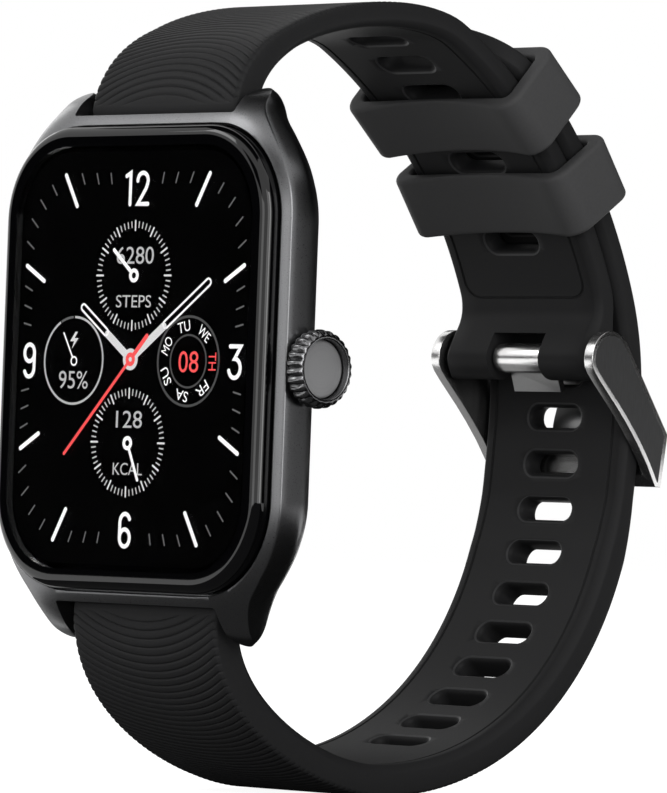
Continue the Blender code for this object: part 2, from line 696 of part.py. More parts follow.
def case_ring(level, half_width, turns, sizes):
    """Return the case's outline at one level from the size of each corner ray."""
    centre = (CASE_WIDTH / 2 - CASE_CORNER, CASE_HEIGHT / 2 - CASE_CORNER)
    quarter = [(half_width, centre[1] * part) for part in (0.0, 0.35, 0.7)]
    for turn, size in zip(turns, sizes):
        quarter.append((centre[0] + size * math.cos(turn), centre[1] + size * math.sin(turn)))
    upper = quarter + [(-x, z) for x, z in reversed(quarter)]
    ring = upper[:-1] + [(-x, -z) for x, z in upper[:-1]]
    return [(x, level, z) for x, z in ring]


def case_rings():
    """Return the outlines of the case from its rim, past the lugs, to its back."""
    turns, reaches = zip(*corner_rays())
    centre = (CASE_WIDTH / 2 - CASE_CORNER, CASE_HEIGHT / 2 - CASE_CORNER)
    margin = GLASS_GAP + RIM_FLAT
    half = (GLASS_HALF[0] + margin, GLASS_HALF[1] + margin)
    rim = [rounded_reach(centre, turn, half, GLASS_CORNER + margin) for turn in turns]
    rings = [case_ring(RIM_Y, half[0], turns, rim)]
    for level, inset in case_levels():
        sizes = [CASE_CORNER - inset + lug_share(level) * reach for reach in reaches]
        rings.append(case_ring(level, CASE_WIDTH / 2 - inset, turns, sizes))
    return rings


def make_case_frame():
    """Make the metal case with its lugs, seats, pockets and ports."""
    frame = loft("case_frame", case_rings(), "anodised", split=True)
    for word, sign in (("upper", 1), ("lower", -1)):
        gap = rectangle(-LUG_INNER_X, LUG_INNER_X, sign * CASE_HEIGHT / 2, sign * CASE_HEIGHT)
        combine(frame, prism_y(word + "_gap_guide", gap, RIM_Y - CLEARANCE, BACK_Y + CLEARANCE))
    recess_half = (GLASS_HALF[0] + GLASS_GAP, GLASS_HALF[1] + GLASS_GAP)
    recess = rounded_rectangle(*recess_half, GLASS_CORNER + GLASS_GAP, ROUND_STEPS)
    combine(frame, prism_y("glass_recess_guide", recess, RIM_Y - CLEARANCE, LEDGE_Y))
    hollow = rounded_rectangle(*CAVITY_HALF, GLASS_CORNER - SIDE_WALL + RIM_SIDE)
    combine(frame, prism_y("cavity_guide", hollow, LEDGE_Y - CLEARANCE, CAVITY_Y))
    inner = rounded_rectangle(*INNER_HALF, BACK_LEDGE_CORNER)
    combine(frame, prism_y("inner_guide", inner, CAVITY_Y - CLEARANCE, BACK_LEDGE_Y + CLEARANCE))
    rear = rounded_rectangle(BACK_HALF[0] + FIT_GAP, BACK_HALF[1] + FIT_GAP, BACK_CORNER + FIT_GAP)
    combine(frame, prism_y("back_recess_guide", rear, BACK_LEDGE_Y, BACK_Y + CLEARANCE))
    for word, sign in (("upper", 1), ("lower", -1)):
        ring = circle((BAR_Y, sign * BAR_Z), LUG_BARREL_RADIUS + BARREL_CLEARANCE, 28)
        combine(frame, prism_x(word + "_pocket_guide", ring, -LUG_INNER_X, LUG_INNER_X))
        hole = circle((BAR_Y, sign * BAR_Z), PIN_RADIUS + RUNNING_GAP, 12)
        reach = LUG_INNER_X + PIN_REACH + CLEARANCE
        combine(frame, prism_x(word + "_bar_guide", hole, -reach, reach))
    bore = circle(CROWN_AXIS, SHAFT_RADIUS + BUSHING_WALL + RUNNING_GAP, 20)
    combine(frame, prism_x("crown_bore_guide", bore, CAVITY_HALF[0] - CLEARANCE, CASE_WIDTH / 2 + CLEARANCE))
    for x, z in screw_places():
        hole = circle((x, z), SCREW_RADIUS + RUNNING_GAP, 12)
        name = "screw_guide_%d_%d" % (x > 0, z > 0)
        low = BACK_Y - SCREW_LENGTH - CLEARANCE
        combine(frame, prism_y(name, hole, low, BACK_LEDGE_Y + CLEARANCE))
    ports_y = INSIDE_Y + SPEAKER_THICKNESS / 2
    for word, z, length in (("speaker", SPEAKER_Z, SPEAKER_PORT), ("microphone", MICROPHONE_Z, PORT_WIDTH)):
        port = rectangle(ports_y - PORT_WIDTH / 2, ports_y + PORT_WIDTH / 2, z - length / 2, z + length / 2)
        combine(frame, prism_x(word + "_port_guide", port, -CASE_WIDTH, CLEARANCE - CAVITY_HALF[0]))
    return frame


def screw_places():
    """Return the X, Z places of the four back screws."""
    x = BACK_HALF[0] - SCREW_INSET
    z = BACK_HALF[1] - SCREW_INSET
    return [(x, z), (-x, z), (-x, -z), (x, -z)]


def make_case_back():
    """Make the back plate, its seal, its screws and the charging contacts."""
    outline = rounded_rectangle(*BACK_HALF, BACK_CORNER)
    plate = prism_y("case_back", outline, PLATE_FRONT_Y, BACK_Y, "black_plastic")
    window = circle((0.0, 0.0), SENSOR_RADIUS + FIT_GAP, 32)
    combine(plate, prism_y("sensor_hole_guide", window, SENSOR_SEAT_Y, BACK_Y + CLEARANCE))
    inner = circle((0.0, 0.0), SENSOR_RADIUS - SENSOR_LEDGE, 32)
    combine(plate, prism_y("sensor_board_guide", inner, PLATE_FRONT_Y - CLEARANCE, BACK_Y))
    for number, (x, z) in enumerate(screw_places(), start=1):
        shank = circle((x, z), SCREW_RADIUS + RUNNING_GAP, 12)
        head = circle((x, z), SCREW_HEAD_RADIUS + RUNNING_GAP, 12)
        combine(plate, prism_y("shank_guide_%d" % number, shank, PLATE_FRONT_Y - CLEARANCE, BACK_Y))
        seat = BACK_Y - SCREW_HEAD - LAYER_GAP
        combine(plate, prism_y("head_guide_%d" % number, head, seat, BACK_Y + CLEARANCE))
        make_screw("back_screw_%d" % number, x, z)
    for word, sign in (("left", -1), ("right", 1)):
        place = (sign * CONTACT_SPACING / 2, CONTACT_Z)
        hole = circle(place, CONTACT_RADIUS + RUNNING_GAP, 16)
        seat = BACK_Y - CONTACT_THICKNESS
        combine(plate, prism_y(word + "_contact_guide", hole, seat - LAYER_GAP, BACK_Y + CLEARANCE))
        pad = circle(place, CONTACT_RADIUS, 16)
        prism_y("charge_contact_" + word, pad, seat, BACK_Y, "gold_contact")
    outer = rounded_rectangle(BACK_HALF[0] - FIT_GAP, BACK_HALF[1] - FIT_GAP, BACK_CORNER - FIT_GAP)
    seal = prism_y("back_seal", outer, BACK_LEDGE_Y + LAYER_GAP, PLATE_FRONT_Y - LAYER_GAP, "seal_rubber")
    edge = SEAL_WIDTH + FIT_GAP
    opening = rounded_rectangle(BACK_HALF[0] - edge, BACK_HALF[1] - edge, BACK_CORNER - edge)
    combine(seal, prism_y("back_seal_guide", opening, BACK_LEDGE_Y - CLEARANCE, PLATE_FRONT_Y + CLEARANCE))


def make_screw(name, x, z):
    """Make one back screw with a plain head and a square driver recess."""
    head_front = BACK_Y - SCREW_HEAD
    rings = [[(px, BACK_Y - SCREW_LENGTH, pz) for px, pz in circle((x, z), SCREW_RADIUS, 12)]]
    rings.append([(px, head_front, pz) for px, pz in circle((x, z), SCREW_RADIUS, 12)])
    rings.append([(px, head_front, pz) for px, pz in circle((x, z), SCREW_HEAD_RADIUS, 12)])
    rings.append([(px, BACK_Y - LAYER_GAP, pz) for px, pz in circle((x, z), SCREW_HEAD_RADIUS, 12)])
    screw = loft(name, rings, "steel")
    half = DRIVE_WIDTH / 2
    recess = rectangle(x - half, x + half, z - half, z + half)
    combine(screw, prism_y(name + "_drive_guide", recess, BACK_Y - DRIVE_DEPTH, BACK_Y + CLEARANCE))


def make_sensor():
    """Make the raised sensor window and the round board behind it."""
    levels = [(SENSOR_SEAT_Y + LAYER_GAP, 0.0), (BACK_Y + SENSOR_WALL, 0.0)]
    levels += [(BACK_Y + SENSOR_SHOULDER_RISE, SENSOR_SHOULDER_IN), (0.0, SENSOR_EDGE_IN)]
    rings = []
    for level, inset in levels:
        rings.append([(x, level, z) for x, z in circle((0.0, 0.0), SENSOR_RADIUS - inset, 32)])
    loft("sensor_window", rings, "glass")
    disc = circle((0.0, 0.0), SENSOR_RADIUS - SENSOR_LEDGE - FIT_GAP, 24)
    rear = SENSOR_SEAT_Y - LAYER_GAP
    prism_y("sensor_board", disc, rear - SENSOR_BOARD_THICKNESS, rear, "board")


def make_glass():
    """Make the raised cover glass, its seal and the display panel inside it."""
    steps = [(GLASS_BACK_Y, 0.0)]
    for angle in (0.0, 30.0, 60.0, 90.0):
        turn = math.radians(angle)
        level = GLASS_Y + GLASS_ROUND_DEPTH * (1.0 - math.sin(turn))
        steps.append((level, GLASS_ROUND_IN * (1.0 - math.cos(turn))))
    rings = []
    for level, inset in steps:
        half = (GLASS_HALF[0] - inset, GLASS_HALF[1] - inset)
        ring = rounded_rectangle(*half, GLASS_CORNER - inset, ROUND_STEPS)
        rings.append([(x, level, z) for x, z in ring])
    glass = loft("cover_glass", rings, "glass")
    half = (GLASS_HALF[0] - GLASS_WALL, GLASS_HALF[1] - GLASS_WALL)
    corner = GLASS_CORNER - GLASS_WALL
    pocket = rounded_rectangle(*half, corner)
    combine(glass, prism_y("glass_pocket_guide", pocket, GLASS_Y + GLASS_FACE, GLASS_BACK_Y + CLEARANCE))
    panel = rounded_rectangle(half[0] - FIT_GAP, half[1] - FIT_GAP, corner - FIT_GAP)
    prism_y("display_panel", panel, DISPLAY_Y, DISPLAY_Y + DISPLAY_THICKNESS, "display")
    outer = rounded_rectangle(GLASS_HALF[0] - FIT_GAP, GLASS_HALF[1] - FIT_GAP, GLASS_CORNER - FIT_GAP)
    seal = prism_y("glass_seal", outer, GLASS_BACK_Y + LAYER_GAP, LEDGE_Y - LAYER_GAP, "seal_rubber")
    edge = FIT_GAP + SEAL_WIDTH
    opening = rounded_rectangle(GLASS_HALF[0] - edge, GLASS_HALF[1] - edge, GLASS_CORNER - edge)
    combine(seal, prism_y("glass_seal_guide", opening, GLASS_BACK_Y - CLEARANCE, LEDGE_Y + CLEARANCE))


def notched_plate(name, margin, low, high, finish):
    """Make a plate that fills the cavity but leaves a notch for the crown's works."""
    corner = GLASS_CORNER - SIDE_WALL + RIM_SIDE - margin
    outline = rounded_rectangle(CAVITY_HALF[0] - margin, CAVITY_HALF[1] - margin, corner)
    plate = prism_y(name, outline, low, high, finish)
    half = NOTCH_WIDTH / 2
    notch = rectangle(SWITCH_X - FIT_GAP, CASE_WIDTH, CROWN_Z - half, CROWN_Z + half)
    combine(plate, prism_y(name + "_notch_guide", notch, low - CLEARANCE, high + CLEARANCE))


def make_inside():
    """Make the bracket, boards, battery, motor, speaker and microphone."""
    notched_plate("inner_bracket", FIT_GAP, BRACKET_Y, BRACKET_Y + BRACKET_THICKNESS, "steel")
    notched_plate("main_board", 3 * FIT_GAP, BOARD_Y, BOARD_Y + BOARD_THICKNESS, "board")
    half = INNER_HALF[0] - BATTERY_SIDE_MARGIN
    rear = SENSOR_SEAT_Y - LAYER_GAP - SENSOR_BOARD_THICKNESS - BATTERY_GAP
    cell = rounded_rectangle(half, (BATTERY_TOP_Z - BATTERY_LOW_Z) / 2, BATTERY_CORNER, 3)
    shift = (BATTERY_TOP_Z + BATTERY_LOW_Z) / 2
    prism_y("battery", [(x, z + shift) for x, z in cell], INSIDE_Y, rear, "battery_wrap")
    ring = circle((INSIDE_Y + MOTOR_RADIUS, MOTOR_Z), MOTOR_RADIUS, 16)
    prism_x("vibration_motor", ring, -MOTOR_LENGTH / 2, MOTOR_LENGTH / 2, "steel")
    wall = FIT_GAP - CAVITY_HALF[0]
    half = SPEAKER_HEIGHT / 2
    box = rectangle(wall, wall + SPEAKER_WIDTH, SPEAKER_Z - half, SPEAKER_Z + half)
    prism_y("speaker", box, INSIDE_Y, INSIDE_Y + SPEAKER_THICKNESS, "black_plastic")
    half = MICROPHONE_SIZE / 2
    box = rectangle(wall, wall + MICROPHONE_SIZE, MICROPHONE_Z - half, MICROPHONE_Z + half)
    prism_y("microphone", box, INSIDE_Y, INSIDE_Y + SPEAKER_THICKNESS, "steel")


def make_crown():
    """Make the crown, its shaft, bushing, seal, clip, yoke and switch."""
    outer = SHAFT_RADIUS + BUSHING_WALL
    mouth = CASE_WIDTH / 2 + LAYER_GAP
    inner = SHAFT_RADIUS + RUNNING_GAP
    seat = SHAFT_RADIUS + CROWN_SEAL_SECTION + 2 * LAYER_GAP
    seal_low = mouth - CROWN_SEAL_DEPTH
    flange = FLANGE_X - BUSHING_FLANGE_THICKNESS
    bushing = [(flange, inner), (flange, BUSHING_FLANGE), (FLANGE_X, BUSHING_FLANGE)]
    bushing += [(FLANGE_X, outer), (mouth, outer), (mouth, seat)]
    bushing += [(seal_low, seat), (seal_low, inner)]
    lathe_x("crown_bushing", bushing, CROWN_AXIS, "steel", 20)
    middle = seal_low + LAYER_GAP + CROWN_SEAL_SECTION / 2
    ring_centre = SHAFT_RADIUS + LAYER_GAP + CROWN_SEAL_SECTION / 2
    section = arc_points((middle, ring_centre), CROWN_SEAL_SECTION / 2, 0.0, 300.0, 6)
    lathe_x("crown_seal", section, CROWN_AXIS, "seal_rubber", 20)
    clip_face = flange - CLIP_GAP
    groove_low = clip_face - CLIP_THICKNESS - LAYER_GAP
    groove = SHAFT_RADIUS - CLIP_GROOVE
    head = CROWN_X + SHAFT_IN_KNOB
    shaft = [(SHAFT_END_X, 0.0), (SHAFT_END_X, SHAFT_RADIUS)]
    shaft += [(groove_low, SHAFT_RADIUS), (groove_low, groove)]
    shaft += [(clip_face + LAYER_GAP, groove), (clip_face + LAYER_GAP, SHAFT_RADIUS)]
    shaft += [(head, SHAFT_RADIUS), (head, 0.0)]
    lathe_x("crown_shaft", shaft, CROWN_AXIS, "steel", 20)
    clip = tube_profile(clip_face - CLIP_THICKNESS, clip_face, CLIP_RADIUS, groove + LAYER_GAP)
    lathe_x("crown_clip", clip, CROWN_AXIS, "steel", 16)
    make_crown_knob(head)
    bore = SHAFT_RADIUS + RUNNING_GAP
    yoke = [(YOKE_X, 0.0), (YOKE_X, YOKE_RADIUS), (YOKE_X + YOKE_LENGTH, YOKE_RADIUS)]
    yoke += [(YOKE_X + YOKE_LENGTH, bore), (YOKE_X + YOKE_PLATE, bore), (YOKE_X + YOKE_PLATE, 0.0)]
    lathe_x("crown_yoke", yoke, CROWN_AXIS, "black_plastic", 20)
    half = SWITCH_SIZE / 2
    block = rectangle(CROWN_Y - half, CROWN_Y + half, CROWN_Z - half, CROWN_Z + half)
    prism_x("crown_switch", block, SWITCH_X, SWITCH_X + SWITCH_THICKNESS, "black_plastic")


def make_crown_knob(shaft_head):
    """Make the fluted knob and the plain cap set in its face."""
    face = CROWN_X + CROWN_LENGTH
    levels = [(CROWN_X, CROWN_BACK_IN), (CROWN_X + CROWN_BACK_LENGTH, 0.0)]
    levels += [(face - CROWN_FACE_LENGTH, 0.0), (face, CROWN_FACE_IN)]
    rings = []
    for level, inset in levels:
        ring = []
        for flute in range(CROWN_FLUTES):
            for share, depth in ((0.0, 1.0), (0.25, 0.25), (0.5, 0.0), (0.75, 0.25)):
                angle = 2 * math.pi * (flute + share) / CROWN_FLUTES
                radius = CROWN_RADIUS - inset - CROWN_FLUTE_DEPTH * depth
                ring.append((level, CROWN_Y + radius * math.cos(angle), CROWN_Z + radius * math.sin(angle)))
        rings.append(ring)
    knob = loft("crown_knob", rings, "anodised")
    recess = circle(CROWN_AXIS, CROWN_CAP_RADIUS + RUNNING_GAP, 28)
    combine(knob, prism_x("crown_recess_guide", recess, face - CROWN_CAP_RECESS, face + CLEARANCE))
    bore = circle(CROWN_AXIS, SHAFT_RADIUS + LAYER_GAP, 20)
    combine(knob, prism_x("crown_shaft_guide", bore, CROWN_X - CLEARANCE, shaft_head + LAYER_GAP))
    low = face - CROWN_CAP_RECESS + LAYER_GAP
    top = low + CROWN_CAP_THICKNESS
    cap = [(low, 0.0), (low, CROWN_CAP_RADIUS), (low + CROWN_CAP_WALL, CROWN_CAP_RADIUS)]
    cap += [(top, CROWN_CAP_RADIUS - CROWN_CAP_EDGE_IN), (top, 0.0)]
    lathe_x("crown_cap", cap, CROWN_AXIS, "anodised", 28)


def make_spring_bar(word, sign):
    """Make one quick-release spring bar: a sleeve, a sliding pin with its knob and a coil spring."""
    axis = (BAR_Y, sign * BAR_Z)
    half = STRAP_LUG_WIDTH / 2 - LAYER_GAP
    tip = LUG_INNER_X + PIN_REACH
    bore_end = SLEEVE_END_WALL - half
    profile = [(-tip, 0.0), (-tip, PIN_RADIUS), (-half, PIN_RADIUS), (-half, SLEEVE_RADIUS)]
    profile += [(half, SLEEVE_RADIUS), (half, SLEEVE_BORE), (bore_end, SLEEVE_BORE), (bore_end, 0.0)]
    sleeve = lathe_x(word + "_bar_sleeve", profile, axis, "steel", 16)
    knob_x = half - RELEASE_KNOB_PLACE
    low = knob_x - RELEASE_KNOB_RADIUS - PIN_TRAVEL - FIT_GAP
    high = knob_x + RELEASE_KNOB_RADIUS + FIT_GAP
    open_half = RELEASE_KNOB_RADIUS + RUNNING_GAP
    slot = rectangle(BAR_Y, BAR_Y + 2 * SLEEVE_RADIUS, axis[1] - open_half, axis[1] + open_half)
    combine(sleeve, prism_x(word + "_sleeve_slot_guide", slot, low, high))
    pin_end = tip - PIN_LENGTH
    pin = lathe_x(word + "_bar_pin", rod_profile(pin_end, tip, PIN_RADIUS), axis, "steel", 12)
    ring = circle((knob_x, axis[1]), RELEASE_KNOB_RADIUS, 12)
    combine(pin, prism_y(word + "_release_knob", ring, BAR_Y, BAR_Y + RELEASE_KNOB_REACH), "UNION")
    end_gap = LAYER_GAP + SPRING_WIRE
    make_coil(word + "_bar_spring", axis, bore_end + end_gap, pin_end - end_gap)


def make_coil(name, axis, low, high):
    """Make a coil spring along X as one unbroken wire."""
    radius = SLEEVE_BORE - RUNNING_GAP - SPRING_WIRE
    per_turn = 8
    count = SPRING_TURNS * per_turn + 1
    data = bpy.data.curves.new(name, "CURVE")
    data.dimensions = "3D"
    data.bevel_depth = SPRING_WIRE
    data.bevel_resolution = 0
    data.use_fill_caps = True
    spline = data.splines.new("POLY")
    spline.points.add(count - 1)
    for index, point in enumerate(spline.points):
        turn = 2 * math.pi * index / per_turn
        x = low + (high - low) * index / (count - 1)
        point.co = (x, radius * math.cos(turn), radius * math.sin(turn), 1.0)
    data.materials.append(finish_material(name + "_finish", *FINISHES["steel"]))
    item = bpy.data.objects.new(name, data)
    item.location = (0.0, *axis)
    bpy.context.scene.collection.objects.link(item)


def cut_bar_bore(strap, word, sign):
    """Cut the spring bar's bore and the window of its release knob into a strap end."""
    axis = (BAR_Y, sign * BAR_Z)
    bore = circle(axis, SLEEVE_RADIUS + RUNNING_GAP, 16)
    combine(strap, prism_x(word + "_bore_guide", bore, -STRAP_LUG_WIDTH, STRAP_LUG_WIDTH))
    knob_x = STRAP_LUG_WIDTH / 2 - LAYER_GAP - RELEASE_KNOB_PLACE
    low = knob_x - RELEASE_KNOB_RADIUS - PIN_TRAVEL - CLEARANCE
    high = knob_x + RELEASE_KNOB_RADIUS + CLEARANCE
    half = RELEASE_KNOB_RADIUS + 1.5 * CLEARANCE
    window = rectangle(BAR_Y, BAR_Y + 2 * LUG_BARREL_RADIUS, axis[1] - half, axis[1] + half)
    combine(strap, prism_x(word + "_window_guide", window, low, high))


def strap_start_thickness(run, transition):
    """Return the strap's thickness at a run from the tip of its lug barrel."""
    if run < LUG_BARREL_RADIUS:
        return nose_thickness(run, LUG_BARREL_RADIUS)
    share = (run - LUG_BARREL_RADIUS) / transition
    return float(np.interp(share, (0.0, 1.0), (2 * LUG_BARREL_RADIUS, STRAP_THICKNESS)))


def strap_start_width(run):
    """Return the strap's width at a run from the tip of its lug barrel."""
    past = run - LUG_BARREL_RADIUS
    places = (LUG_RUN, NECK_RUN, MIDDLE_RUN, TAIL_RUN)
    widths = (STRAP_LUG_WIDTH, STRAP_NECK_WIDTH, STRAP_MIDDLE_WIDTH, STRAP_WIDTH)
    return float(np.interp(past, places, widths))


def make_upper_strap():
    """Make the strap half that carries the buckle."""
    length = run_lengths(UPPER_PATH)[-1]

    def thickness_at(run):
        left = length - run
        if left < HEEL_BARREL_RADIUS:
            return nose_thickness(left, HEEL_BARREL_RADIUS)
        share = (left - HEEL_BARREL_RADIUS) / HEEL_TRANSITION
        end = float(np.interp(share, (0.0, 1.0), (2 * HEEL_BARREL_RADIUS, STRAP_THICKNESS)))
        return max(end, strap_start_thickness(run, UPPER_TRANSITION))

    def width_at(run):
        share = (length - run - HEEL_BARREL_RADIUS) / HEEL_TRANSITION
        trim = float(np.interp(share, (0.0, 1.0), (STRAP_WIDTH - HEEL_WIDTH, 0.0)))
        return strap_start_width(run) - trim

    runs = nose_runs(LUG_BARREL_RADIUS)
    tail = [length - run for run in reversed(nose_runs(HEEL_BARREL_RADIUS))]
    transition = tail[0] - HEEL_TRANSITION
    runs += even_runs(runs[-1], transition) + [transition, tail[0] - 0.5 * HEEL_TRANSITION] + tail
    origin = (0.0, BAR_Y, BAR_Z)
    strap = strap_body("strap_upper", UPPER_PATH, 1, runs, width_at, thickness_at, origin)
    cut_bar_bore(strap, "upper", 1)
    bore = circle(HEEL, HEEL_PIN_RADIUS + RUNNING_GAP, 16)
    combine(strap, prism_x("heel_bore_guide", bore, -HEEL_WIDTH, HEEL_WIDTH))
    half = PRONG_BARREL_WIDTH / 2 + NOTCH_CLEARANCE
    reach = HEEL_BARREL_RADIUS + CLEARANCE
    notch = rectangle(HEEL[0] - 2 * reach, HEEL[0] + 2 * reach, HEEL[1] - 2 * reach, HEEL[1] + reach)
    combine(strap, prism_x("prong_notch_guide", notch, -half, half))
    places = [length - UPPER_SLOT_FROM_HEEL - SLOT_PITCH * index for index in range(UPPER_SLOTS)]
    combine(strap, slot_cutter("upper_slot_guide", UPPER_PATH, places))


def make_lower_strap():
    """Make the strap half with the adjustment slots and the tail."""
    length = run_lengths(LOWER_PATH)[-1]

    def width_at(run):
        share = (run - length + TAIL_TIP_LENGTH) / (TAIL_TIP_LENGTH * TAIL_TIP_BLUNT)
        narrow = math.sqrt(1.0 - max(share, 0.0) ** 2)
        return strap_start_width(run) * narrow

    def thickness_at(run):
        return strap_start_thickness(run, LOWER_TRANSITION)

    runs = nose_runs(LUG_BARREL_RADIUS)
    tip = [length - TAIL_TIP_LENGTH * part for part in (1.0, 0.6, 0.3, 0.1, 0.0)]
    runs += even_runs(runs[-1], tip[0]) + tip
    origin = (0.0, BAR_Y, -BAR_Z)
    strap = strap_body("strap_lower", LOWER_PATH, -1, runs, width_at, thickness_at, origin)
    cut_bar_bore(strap, "lower", -1)
    steps = range(-SLOTS_BELOW_PRONG, SLOTS_ABOVE_PRONG + 1)
    places = [PRONG_RUN + SLOT_PITCH * step for step in steps]
    combine(strap, slot_cutter("lower_slot_guide", LOWER_PATH, places))


def keeper_outline(half_width, half_depth):
    """Return a keeper's outer outline, whose side next to the wrist is hollowed in the middle."""
    outline = rounded_rectangle(half_width, half_depth, KEEPER_CORNER, 5)
    flat = half_width - KEEPER_CORNER
    hollow = []
    for share in np.linspace(-1.0, 1.0, 9)[1:-1]:
        hollow.append((share * flat, KEEPER_BOW * (1.0 - share**2) - half_depth))
    return outline[:15] + hollow + outline[15:]


def make_keeper(name, angle):
    """Make one rubber keeper round both strap layers; its origin is the centre of the overlap."""
    half = STRAP_WIDTH / 2 + KEEPER_FIT
    half_depth = STRAP_THICKNESS + LAYER_CLEARANCE / 2 + KEEPER_FIT
    outer = keeper_outline(half + KEEPER_WALL, half_depth + KEEPER_DEPTH_WALL)
    inner = rounded_rectangle(half, half_depth, KEEPER_INNER_CORNER, 3)
    origin = (0.0, OVERLAP_CENTRE_Y, OVERLAP_CENTRE_Z)
    bodies = []
    for word, outline, length in (("", outer, KEEPER_LENGTH), ("_guide", inner, 2 * KEEPER_LENGTH)):
        rings = []
        for level in (-length / 2, length / 2):
            rings.append([(x, OVERLAP_RADIUS + offset, level) for x, offset in outline])
        finish = None if word else "keeper_rubber"
        bodies.append(loft(name + word, rings, finish, origin, math.radians(angle)))
    combine(*bodies)


def plate_outline():
    """Return the outline of a buckle side plate, as Y and Z places about the heel bar."""
    end_top = (CROSSBAR_OUT_Y - HEEL[0], -CROSSBAR_TOP)
    end_low = (end_top[0] - CROSSBAR_LEAN, -CROSSBAR_TOP - CROSSBAR_HEIGHT)
    lean = math.degrees(math.atan2(end_top[1], end_top[0]))
    eye = arc_points((PLATE_EYE_SHIFT, 0.0), PLATE_EYE_RADIUS, lean + PLATE_EYE_START, lean + PLATE_EYE_END, 16)
    inner = (end_low[0] - PLATE_END_WIDTH, end_low[1])
    edge = curve_span(eye[-1], PLATE_EDGE_START, PLATE_EDGE_START_REACH,
                      inner, PLATE_EDGE_END, PLATE_EDGE_END_REACH, 9)
    return eye + [tuple(point) for point in edge[1:]] + [end_low, end_top]


def make_buckle():
    """Make the buckle frame, the heel bar and the prong about the heel bar's axis."""
    origin = (0.0, HEEL[0], HEEL[1])
    inside = HEEL_WIDTH / 2 + PLATE_GAP
    outside = inside + PLATE_THICKNESS
    frame = prism_x("buckle_frame", plate_outline(), -outside, outside, "polished_steel", origin)
    near = HEEL[0] - CASE_WIDTH
    far = HEEL[0] + CASE_WIDTH
    top = HEEL[1] + CASE_WIDTH
    base = CROSSBAR_LOW_Z - CASE_WIDTH
    bar_top = CROSSBAR_TOP_Z + CROSSBAR_RELIEF
    window = [(near, top), (far, top), (far, bar_top), (CROSSBAR_IN_TOP, bar_top)]
    window += [(CROSSBAR_IN_LOW, CROSSBAR_LOW_Z), (CROSSBAR_IN_LOW, base), (near, base)]
    combine(frame, prism_x("buckle_window_guide", window, -inside, inside))
    rest = PRONG_WIDTH / 2 + NOTCH_CLEARANCE
    groove = rectangle(CROSSBAR_FLAT_Y, far, base, top)
    combine(frame, prism_x("prong_rest_guide", groove, -rest, rest))
    eye = circle(HEEL, HEEL_PIN_RADIUS + LAYER_GAP, 16)
    combine(frame, prism_x("eye_guide", eye, -2 * outside, 2 * outside))
    lathe_x("heel_bar", rod_profile(-outside, outside, HEEL_PIN_RADIUS), tuple(HEEL), "polished_steel", 16)
    make_prong(origin)


def make_prong(origin):
    """Make the prong: a barrel on the heel bar and a blade through the strap to the crossbar."""
    barrel_half = PRONG_BARREL_WIDTH / 2
    ring = circle((0.0, 0.0), PRONG_BARREL_RADIUS, 20)
    prong = prism_x("prong", ring, -barrel_half, barrel_half, "polished_steel", origin)
    slope = math.radians(PRONG_SLOPE)
    root = np.array([PRONG_ROOT_RUN, -PRONG_ROOT_DROP])
    out = PRONG_OUTSIDE_Y - HEEL[0]
    bend_y = out - PRONG_BEND * (1.0 + math.sin(slope))
    bend_z = root[1] + (bend_y - root[0]) * math.tan(slope)
    centre = (out - PRONG_BEND, bend_z - PRONG_BEND * math.cos(slope))
    bend = arc_points(centre, PRONG_BEND, 90.0 + PRONG_SLOPE, 0.0, 6)
    low = (out, -CROSSBAR_TOP - CROSSBAR_HEIGHT + PRONG_PAST_BAR)
    line = np.array([tuple(root)] + bend + [low])
    runs = run_lengths(line)
    left = []
    right = []
    for run in runs:
        here, heading = place_on(extend(line, CLEARANCE, CLEARANCE), run + CLEARANCE)
        side = np.array([-heading[1], heading[0]]) * PRONG_THICKNESS / 2
        left.append(tuple(here + side))
        right.append(tuple(here - side))
    outline = left + right[::-1]
    blade = prism_x("prong_blade_guide", outline, -PRONG_WIDTH / 2, PRONG_WIDTH / 2, None, origin)
    combine(prong, blade, "UNION")
    start = np.array([TAB_START_RUN, -TAB_START_DROP])
    end = np.array([TAB_END_RUN, -TAB_END_DROP])
    way = (end - start) / np.linalg.norm(end - start)
    side = np.array([-way[1], way[0]]) * TAB_THICKNESS / 2
    tab = [tuple(point) for point in (start + side, end + side, end - side, start - side)]
    tab_half = barrel_half - LAYER_GAP
    combine(prong, prism_x("prong_tab_guide", tab, -tab_half, tab_half, None, origin), "UNION")
    bore = circle(HEEL, HEEL_PIN_RADIUS + RUNNING_GAP, 16)
    combine(prong, prism_x("prong_bore_guide", bore, -2 * barrel_half, 2 * barrel_half))


def make_watch():
    """Make every piece of the watch."""
    clear_scene()
    make_case_frame()
    make_case_back()
    make_sensor()
    make_glass()
    make_inside()
    make_crown()
    make_spring_bar("upper", 1)
    make_spring_bar("lower", -1)
    make_upper_strap()
    make_lower_strap()
    make_keeper("keeper_upper", KEEPER_UPPER_ANGLE)
    make_keeper("keeper_lower", KEEPER_LOWER_ANGLE)
    make_buckle()


make_watch()
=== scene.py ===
"""Looks of a rectangular smartwatch that is closed on its silicone strap.

Units are metres in the part's own frame: +X to the crown, +Z to twelve o'clock and -Y out of the display.
Sizes are written as millimetre values times MM.
"""

import logging
import math
from collections.abc import Callable, Sequence
from dataclasses import dataclass
from enum import Enum

import bpy
import numpy as np
from mathutils import Matrix, Vector


